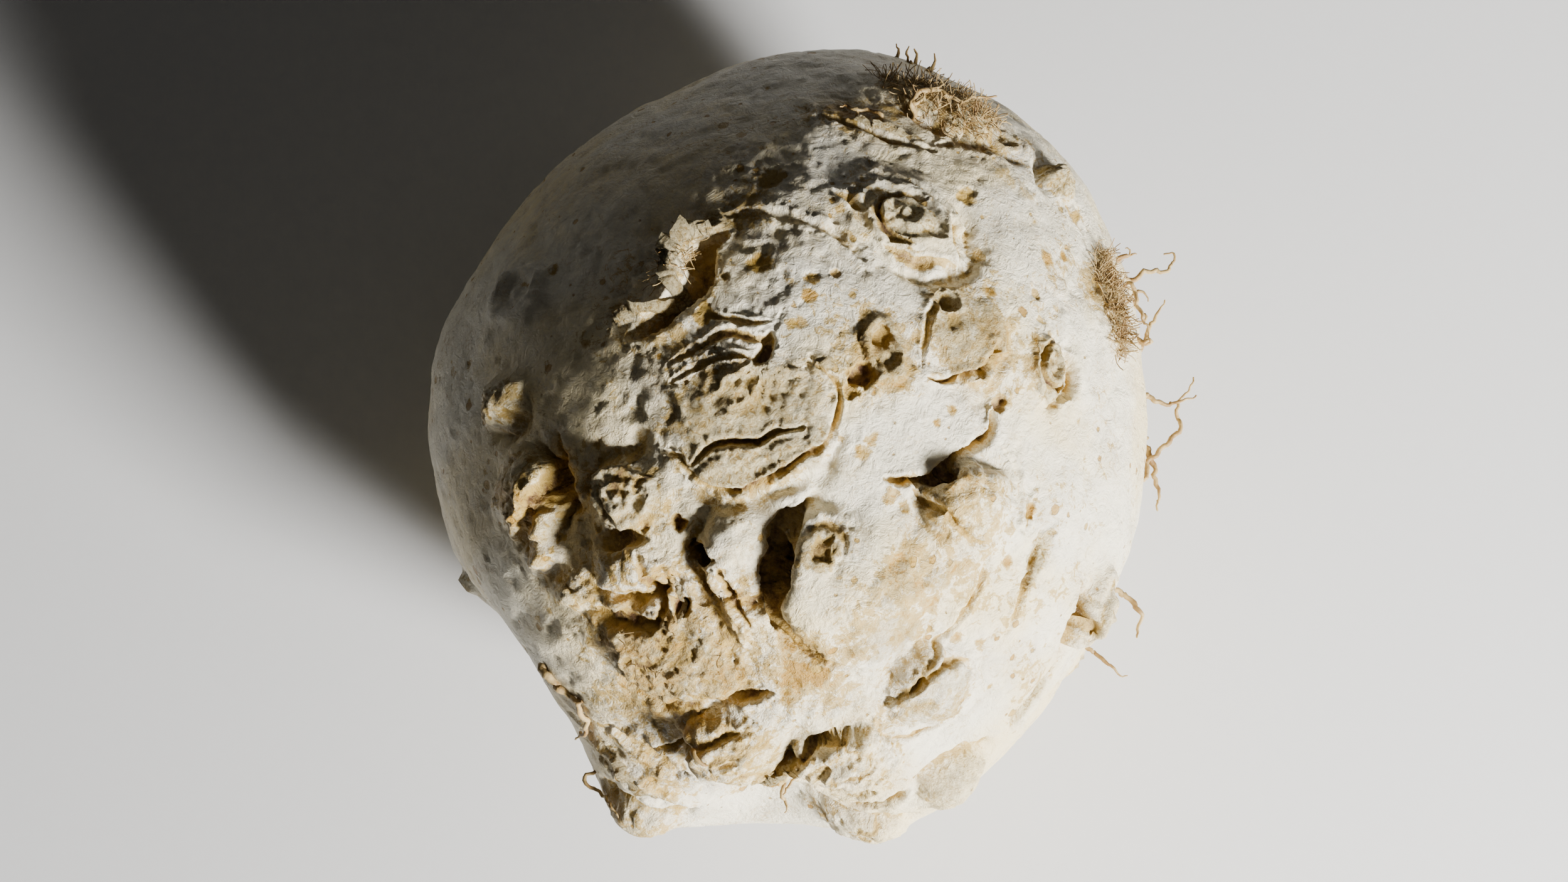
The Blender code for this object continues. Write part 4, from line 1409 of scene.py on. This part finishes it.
def relief_tree(looks, material):
    """Fine wrinkles and pores over the whole skin, deeper where it is gnarled."""
    inputs = {
        "Wrinkle Height": ("NodeSocketFloat", looks.wrinkle_height),
        "Wrinkle Size": ("NodeSocketFloat", looks.wrinkle_size),
        "Gnarl Height": ("NodeSocketFloat", looks.gnarl_height),
    }
    tree, graph, given, result = geometry_tree("skin relief", inputs)
    position = graph.node("GeometryNodeInputPosition").outputs[0]
    millis = graph.scaled(position, *MILLIS)
    per_size = graph.math("DIVIDE", 0.001, given["Wrinkle Size"])
    noise_inputs = {"Vector": millis, "Scale": per_size, "Detail": 4.0, "Distortion": 0.7}
    waves = graph.node("ShaderNodeTexNoise", noise_inputs).outputs[0]
    waves = graph.centred(waves)
    crests = graph.times(graph.math("ABSOLUTE", waves), -2.0)
    height = graph.times(graph.plus(waves, crests), given["Wrinkle Height"])
    rough = graph.node("GeometryNodeInputNamedAttribute", {"Name": "gnarl"}, data_type="FLOAT")
    knotty_inputs = {"Vector": millis, "Scale": 0.75, "Detail": 3.0, "Distortion": 1.2}
    knotty = graph.node("ShaderNodeTexNoise", knotty_inputs).outputs[0]
    knotty = graph.centred(knotty)
    knots = graph.times(knotty, rough.outputs["Attribute"])
    height = graph.plus(height, graph.times(knots, given["Gnarl Height"]))
    above = graph.node("ShaderNodeSeparateXYZ", {0: position}).outputs[2]
    height = graph.times(height, graph.step(above, 0.0006, 0.003))
    normal = graph.node("GeometryNodeInputNormal").outputs[0]
    offset = graph.node("ShaderNodeVectorMath", {0: normal, 3: height}, operation="SCALE").outputs[0]
    moved = graph.node("GeometryNodeSetPosition", {"Geometry": given["Geometry"], "Offset": offset})
    finish_tree(graph, moved.outputs[0], material, result)
    return tree, inputs


def colour_property(name, description, default):
    return bpy.props.FloatVectorProperty(
        name=name,
        description=description,
        default=(*default, 1.0),
        size=4,
        subtype="COLOR",
        min=0,
        max=1,
    )


def length_property(name, description, default):
    return bpy.props.FloatProperty(
        name=name, description=description, default=default, unit="LENGTH", precision=5, min=0
    )


def power_property(name, description, default):
    return bpy.props.FloatProperty(name=name, description=description, default=default, min=0)


class CeleriacSkinLooks(bpy.types.PropertyGroup):
    skin_colour: colour_property("Skin", "Clean skin", (0.86, 0.785, 0.585))
    warm_colour: colour_property("Warm skin", "Yellower patches of the skin", (0.85, 0.71, 0.40))
    shade_colour: colour_property("Dull skin", "Duller clouds in the skin", (0.66, 0.58, 0.42))
    ochre_colour: colour_property("Ochre", "Stains round scars and cracks", (0.47, 0.30, 0.06))
    rust_colour: colour_property("Rust", "The strongest stains and specks", (0.38, 0.19, 0.006))
    tissue_colour: colour_property("Torn tissue", "Dry fibres of scars", (0.84, 0.72, 0.42))
    bark_colour: colour_property("Bark", "Dark crumbs of scars", (0.40, 0.25, 0.06))
    # painted shade: the crack colour stands partly for the shade at the bottom of cracks and partly for
    # their own brown
    crack_brown_and_shade_colour: colour_property("Crack", "The bottom of cracks", (0.12, 0.055, 0.018))
    grime_colour: colour_property("Grime", "Grey earth left on the skin", (0.36, 0.35, 0.34))
    cut_colour: colour_property("Crown cut", "Dried flesh of the crown cut", (0.62, 0.56, 0.42))
    wrinkle_height: length_property("Wrinkle height", "Height of the fine wrinkles", 0.0009)
    wrinkle_size: length_property("Wrinkle size", "Length of the fine wrinkles", 0.0032)
    gnarl_height: length_property("Gnarl height", "Roughness of the gnarled knobs", 0.0013)


class CeleriacRootletLooks(bpy.types.PropertyGroup):
    pale_colour: colour_property("Pale", "Dry, pale side roots", (0.50, 0.35, 0.14))
    brown_colour: colour_property("Brown", "Darker stretches", (0.26, 0.145, 0.04))
    step: length_property("Step", "Distance between the rings of a side root", 0.0004)
    wander: length_property("Wander", "How far a side root strays from its route", 0.0022)
    sides: bpy.props.IntProperty(name="Sides", description="Sides of a side root", default=7, min=3)
    hair_length: length_property("Fibre length", "Length of a short dry fibre", 0.0022)
    hair_thickness: length_property("Fibre thickness", "Half the thickness of a fibre", 0.00007)
    hair_density: bpy.props.FloatProperty(
        name="Fibre density", description="Fibres per square metre", default=5.0e6, min=0
    )


class CeleriacStage(bpy.types.PropertyGroup):
    floor_colour: colour_property("Floor", "Pale paper", (0.74, 0.73, 0.71))
    key_power: power_property("Key", "Power of the low main light", 27.5)
    fill_power: power_property("Fill", "Power of the soft top light", 0.35)
    camera_distance: length_property("Camera distance", "From the body's middle", 0.30)
    camera_elevation: bpy.props.FloatProperty(
        name="Camera elevation",
        description="Angle above the horizon",
        default=radians(80),
        subtype="ANGLE",
    )
    camera_lens: bpy.props.FloatProperty(
        name="Lens", description="Focal length", default=42.4, unit="CAMERA", min=1
    )


class CELERIAC_OT_body(bpy.types.Operator):
    """Make the swollen root with its knobs, scars and cracks"""

    bl_idname = "celeriac.body"
    bl_label = "Body"

    def execute(self, context):
        looks = context.scene.celeriac_skin
        mesh, _ = skin()
        rough = bpy.data.objects.new("rough skin", mesh.copy())
        context.collection.objects.link(rough)
        tree, inputs = relief_tree(looks, skin_material(looks))
        add_geometry_modifier(rough, tree, inputs)
        body = plain_mesh(rough, "root_body")
        body.data.shade_smooth()
        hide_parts("celeriac_root")
        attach(body, "root")
        return {"FINISHED"}


def rootlet_tree(looks, material):
    """Crooked, tapering tubes along the curves they are given."""
    inputs = {
        "Step": ("NodeSocketFloat", looks.step),
        "Wander": ("NodeSocketFloat", looks.wander),
        "Sides": ("NodeSocketInt", looks.sides),
    }
    tree, graph, given, result = geometry_tree("side roots", inputs)
    spacing = {"Curve": given["Geometry"], "Length": given["Step"]}
    resample = graph.node("GeometryNodeResampleCurve", spacing, mode="LENGTH")
    position = graph.node("GeometryNodeInputPosition").outputs[0]
    place = graph.scaled(position, *MILLIS)
    bends = graph.node("ShaderNodeTexNoise", {"Vector": place, "Scale": 0.55, "Detail": 2.0})
    half = {0: bends.outputs["Color"], 1: (0.5, 0.5, 0.5)}
    bends = graph.node("ShaderNodeVectorMath", half, operation="SUBTRACT").outputs[0]
    strayed = {0: bends, 3: given["Wander"]}
    bends = graph.node("ShaderNodeVectorMath", strayed, operation="SCALE").outputs[0]
    moved = {"Geometry": resample.outputs[0], "Offset": bends}
    crooked = graph.node("GeometryNodeSetPosition", moved).outputs[0]
    knots = graph.node("ShaderNodeTexNoise", {"Vector": place, "Scale": 0.9, "Detail": 2.0}).outputs[0]
    along = graph.node("GeometryNodeSplineParameter").outputs["Factor"]
    taper = graph.plus(graph.step(along, 1.15, 0.35), 0.35)
    share = graph.times(graph.plus(graph.times(knots, 0.9), 0.55), taper)
    radius = graph.node("GeometryNodeInputRadius").outputs[0]
    thickness = {"Curve": crooked, "Radius": graph.times(share, radius)}
    thick = graph.node("GeometryNodeSetCurveRadius", thickness).outputs[0]
    circle = {"Resolution": given["Sides"], "Radius": 1.0}
    ring = graph.node("GeometryNodeCurvePrimitiveCircle", circle).outputs[0]
    swept = {"Curve": thick, "Profile Curve": ring, "Scale": radius, "Fill Caps": True}
    tube = graph.node("GeometryNodeCurveToMesh", swept)
    finish_tree(graph, tube.outputs[0], material, result)
    return tree, inputs


def rooted(route, resting, bvh, shift):
    """The route's points in metres, started inside the skin at the nearest place."""
    points = [(Vector((x, y, route.height)) + shift) * MM for x, y in route.places]
    if resting:
        for point in points:
            below, _, _, _ = bvh.ray_cast(Vector((point.x, point.y, 1.0)), Vector((0, 0, -1)))
            point.z = max(point.z, below.z + REST_GAP) if below else point.z
    seat, normal, _, _ = bvh.find_nearest(points[0])
    return [seat - normal * ROOT_DEPTH, seat + normal * 0.2 * ROOT_DEPTH, *points]


def tuft_curve(name, tuft):
    """A curve object with one smooth spline along each route."""
    bvh, shift = skin_surface()
    curve = bpy.data.curves.new(name, "CURVE")
    curve.dimensions = "3D"
    for route in tuft.routes:
        points = rooted(route, tuft.resting, bvh, shift)
        spline = curve.splines.new("BEZIER")
        spline.bezier_points.add(len(points) - 1)
        for knot, place in zip(spline.bezier_points, points):
            knot.co = place
            knot.handle_left_type = knot.handle_right_type = "AUTO"
            knot.radius = route.thickness * MM / 2
    thing = bpy.data.objects.new(name, curve)
    bpy.context.collection.objects.link(thing)
    return thing


class CELERIAC_OT_rootlets(bpy.types.Operator):
    """Grow the dry side roots that still hang on"""

    bl_idname = "celeriac.rootlets"
    bl_label = "Side roots"

    def execute(self, context):
        looks = context.scene.celeriac_rootlets
        tree, inputs = rootlet_tree(looks, rootlet_material(looks))
        for name, tuft in ROOTLETS.items():
            curves = tuft_curve(name, tuft)
            add_geometry_modifier(curves, tree, inputs)
            piece = plain_mesh(curves, name)
            if not piece.data.polygons:
                raise RuntimeError(f"{name} has no side roots")
            piece.data.shade_smooth()
            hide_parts(*(f"{tuft.node}_{i}" for i in range(1, tuft.count + 1)))
            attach(piece, "root")
        return {"FINISHED"}


def peel_mesh(peel, chance):
    """A thin strip of loose skin that stands up along its line and curls over to one side."""
    bvh, shift = skin_surface()
    path = smooth_line(peel.points, splits=10)
    rows, seats = [], []
    for aim in path:
        place, normal, _, _ = bvh.ray_cast(shift * MM + Vector(aim) * 0.2, -Vector(aim))
        seats.append((place, normal))
    last = len(seats) - 1
    start = chance.uniform(0, 50)
    for i, (place, normal) in enumerate(seats):
        ahead = seats[min(i + 1, last)][0] - seats[max(i - 1, 0)][0]
        over = ahead.cross(normal).normalized() * peel.side
        share = i / last
        ragged = 1.0 + 0.35 * noise.fractal(Vector((start + share * 9, 0, 0)), 1.0, 2.0, 4)
        width = peel.width * MM * ragged * sin(pi * (0.08 + 0.84 * share)) ** 0.5
        row = []
        for j in range(PEEL_ROWS + 1):
            across = j / PEEL_ROWS
            turn = radians(peel.curl) * across**1.3
            reach = width * across
            wrinkle = 0.00022 * noise.noise(Vector((start + share * 60, across * 2.0, 0)))
            rise = normal * (reach * cos(turn * 0.75) - PEEL_DEPTH + wrinkle * across)
            row.append(place + rise + over * (reach * sin(turn * 0.75) + wrinkle))
        rows.append(row)
    mesh = bmesh.new()
    sheet = [[mesh.verts.new(place) for place in row] for row in rows]
    for a, b in zip(sheet, sheet[1:]):
        for corners in zip(a, b, b[1:], a[1:]):
            mesh.faces.new(corners)
    bmesh.ops.solidify(mesh, geom=mesh.faces[:], thickness=PEEL_THICKNESS)
    bmesh.ops.recalc_face_normals(mesh, faces=mesh.faces[:])
    return mesh


def painted(mesh, **values):
    """Gives a mesh the skin's paint layers, all zero except the named ones."""
    for name in LAYERS:
        layer = mesh.attributes.new(name, "FLOAT", "POINT")
        layer.data.foreach_set("value", np.full(len(mesh.vertices), values.get(name, 0.0)))


class CELERIAC_OT_peels(bpy.types.Operator):
    """Raise the loose, curled strips of torn skin"""

    bl_idname = "celeriac.peels"
    bl_label = "Loose skin"

    def execute(self, context):
        chance = Random(5)
        everything = bmesh.new()
        for peel in PEELS:
            strip = peel_mesh(peel, chance)
            loose = bpy.data.meshes.new("strip")
            strip.to_mesh(loose)
            strip.free()
            everything.from_mesh(loose)
            bpy.data.meshes.remove(loose)
        made = bpy.data.meshes.new("loose_skin")
        everything.to_mesh(made)
        everything.free()
        painted(made, tissue=0.75, stain=0.45, groove=0.05, gnarl=0.6)
        made.materials.append(bpy.data.materials["celeriac_skin_finish"])
        made.shade_smooth()
        piece = bpy.data.objects.new("loose_skin", made)
        context.collection.objects.link(piece)
        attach(piece, "root")
        return {"FINISHED"}


def fibre_tree(looks, material):
    """Short bent fibres scattered over the skin where it is painted hairy, turned at random."""
    inputs = {
        "Density": ("NodeSocketFloat", looks.hair_density),
        "Length": ("NodeSocketFloat", looks.hair_length),
        "Thickness": ("NodeSocketFloat", looks.hair_thickness),
        "Seed": ("NodeSocketInt", 11),
    }
    tree, graph, given, result = geometry_tree("fibres", inputs)
    hairy = graph.node("GeometryNodeInputNamedAttribute", {"Name": "hair"}, data_type="FLOAT")
    strong = graph.step(hairy.outputs["Attribute"], 0.15, 1.0)
    sown = {
        "Mesh": given["Geometry"],
        "Density": graph.times(strong, given["Density"]),
        "Seed": given["Seed"],
    }
    points = graph.node("GeometryNodeDistributePointsOnFaces", sown).outputs
    turns = {0: (-1.25, -1.25, -3.14), 1: (1.25, 1.25, 3.14)}
    tilt = graph.node("FunctionNodeRandomValue", turns, data_type="FLOAT_VECTOR").outputs[0]
    leaned = {"Rotation": points["Rotation"], "Rotate By": tilt}
    turned = graph.node("FunctionNodeRotateRotation", leaned, rotation_space="LOCAL").outputs[0]
    bow = {"Resolution": 4, "Start": (0, 0, -0.15), "Middle": (0.05, 0, 0.55), "End": (0.5, 0.1, 0.85)}
    arc = graph.node("GeometryNodeCurveQuadraticBezier", bow).outputs[0]
    thickness = graph.math("DIVIDE", given["Thickness"], given["Length"])
    circle = {"Resolution": 3, "Radius": thickness}
    ring = graph.node("GeometryNodeCurvePrimitiveCircle", circle).outputs[0]
    swept = {"Curve": arc, "Profile Curve": ring, "Fill Caps": True}
    hair = graph.node("GeometryNodeCurveToMesh", swept).outputs[0]
    size = graph.node("FunctionNodeRandomValue", {2: 0.4, 3: 1.3}).outputs[1]
    planting = {
        "Points": points["Points"],
        "Instance": hair,
        "Rotation": turned,
        "Scale": graph.times(size, given["Length"]),
    }
    planted = graph.node("GeometryNodeInstanceOnPoints", planting)
    finish_tree(graph, planted.outputs[0], material, result)
    return tree, inputs


class CELERIAC_OT_hairs(bpy.types.Operator):
    """Plant the short dry fibres of torn and hairy patches"""

    bl_idname = "celeriac.hairs"
    bl_label = "Fibres"

    def execute(self, context):
        looks = context.scene.celeriac_rootlets
        mesh, _ = skin()
        seat = bpy.data.objects.new("fibre seat", mesh.copy())
        context.collection.objects.link(seat)
        material = bpy.data.materials["dry_rootlet_finish"]
        tree, inputs = fibre_tree(looks, material)
        add_geometry_modifier(seat, tree, inputs)
        piece = plain_mesh(seat, "fibres")
        if not piece.data.polygons:
            raise RuntimeError("no fibres were planted")
        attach(piece, "root")
        return {"FINISHED"}


class CELERIAC_OT_stage(bpy.types.Operator):
    """Set the floor, the lights and the camera"""

    bl_idname = "celeriac.stage"
    bl_label = "Studio"

    def execute(self, context):
        stage = context.scene.celeriac_stage
        _, shift = skin()
        middle = shift * MM
        bpy.ops.mesh.primitive_plane_add(size=FLOOR_SIZE, location=(0, 0, -FLOOR_DROP))
        floor = context.object
        floor.name = "studio_floor"
        floor.data.materials.append(floor_material(stage))

        lights = (
            ("key", stage.key_power, 0.20, -43, 25, 0.80),
            ("fill", stage.fill_power, 0.9, 20, 70, 1.1),
        )
        for name, power, size, azimuth, elevation, distance in lights:
            light = bpy.data.lights.new(name, "AREA")
            light.energy = power
            light.size = size
            lamp = bpy.data.objects.new(name, light)
            aim = direction(azimuth, elevation)
            lamp.location = middle + aim * distance
            lamp.rotation_euler = aim.to_track_quat("Z", "Y").to_euler()
            context.collection.objects.link(lamp)

        world = bpy.data.worlds.new("studio")
        world.use_nodes = True
        background = world.node_tree.nodes["Background"]
        background.inputs["Color"].default_value = ROOM_COLOUR
        background.inputs["Strength"].default_value = ROOM_STRENGTH
        context.scene.world = world

        camera = bpy.data.cameras.new("camera")
        camera.lens = stage.camera_lens
        camera.clip_start = 0.01
        shot = bpy.data.objects.new("camera", camera)
        back = Vector((0, -cos(stage.camera_elevation), sin(stage.camera_elevation)))
        shot.location = middle + back * stage.camera_distance
        shot.rotation_euler = back.to_track_quat("Z", "Y").to_euler()
        context.collection.objects.link(shot)
        context.scene.camera = shot
        return {"FINISHED"}


class CELERIAC_PT_panel(bpy.types.Panel):
    bl_label = "Celeriac Root"
    bl_idname = "CELERIAC_PT_panel"
    bl_space_type = "VIEW_3D"
    bl_region_type = "UI"
    bl_category = "Celeriac"

    def draw(self, context):
        column = self.layout.column()
        for operator in OPERATORS:
            column.operator(operator.bl_idname)
        for name in SETTINGS:
            settings = getattr(context.scene, name)
            for field in settings.__annotations__:
                column.prop(settings, field)


OPERATORS = (
    CELERIAC_OT_body,
    CELERIAC_OT_peels,
    CELERIAC_OT_rootlets,
    CELERIAC_OT_hairs,
    CELERIAC_OT_stage,
)
SETTINGS = {
    "celeriac_skin": CeleriacSkinLooks,
    "celeriac_rootlets": CeleriacRootletLooks,
    "celeriac_stage": CeleriacStage,
}


def register():
    for kind in (*SETTINGS.values(), *OPERATORS, CELERIAC_PT_panel):
        bpy.utils.register_class(kind)
    for name, kind in SETTINGS.items():
        setattr(bpy.types.Scene, name, bpy.props.PointerProperty(type=kind))


def unregister():
    for name in SETTINGS:
        delattr(bpy.types.Scene, name)
    for kind in reversed((*SETTINGS.values(), *OPERATORS, CELERIAC_PT_panel)):
        bpy.utils.unregister_class(kind)


def main():
    register()
    for operator in OPERATORS:
        name = operator.bl_idname.split(".")[1]
        getattr(bpy.ops.celeriac, name)()


if __name__ == "__main__":
    main()
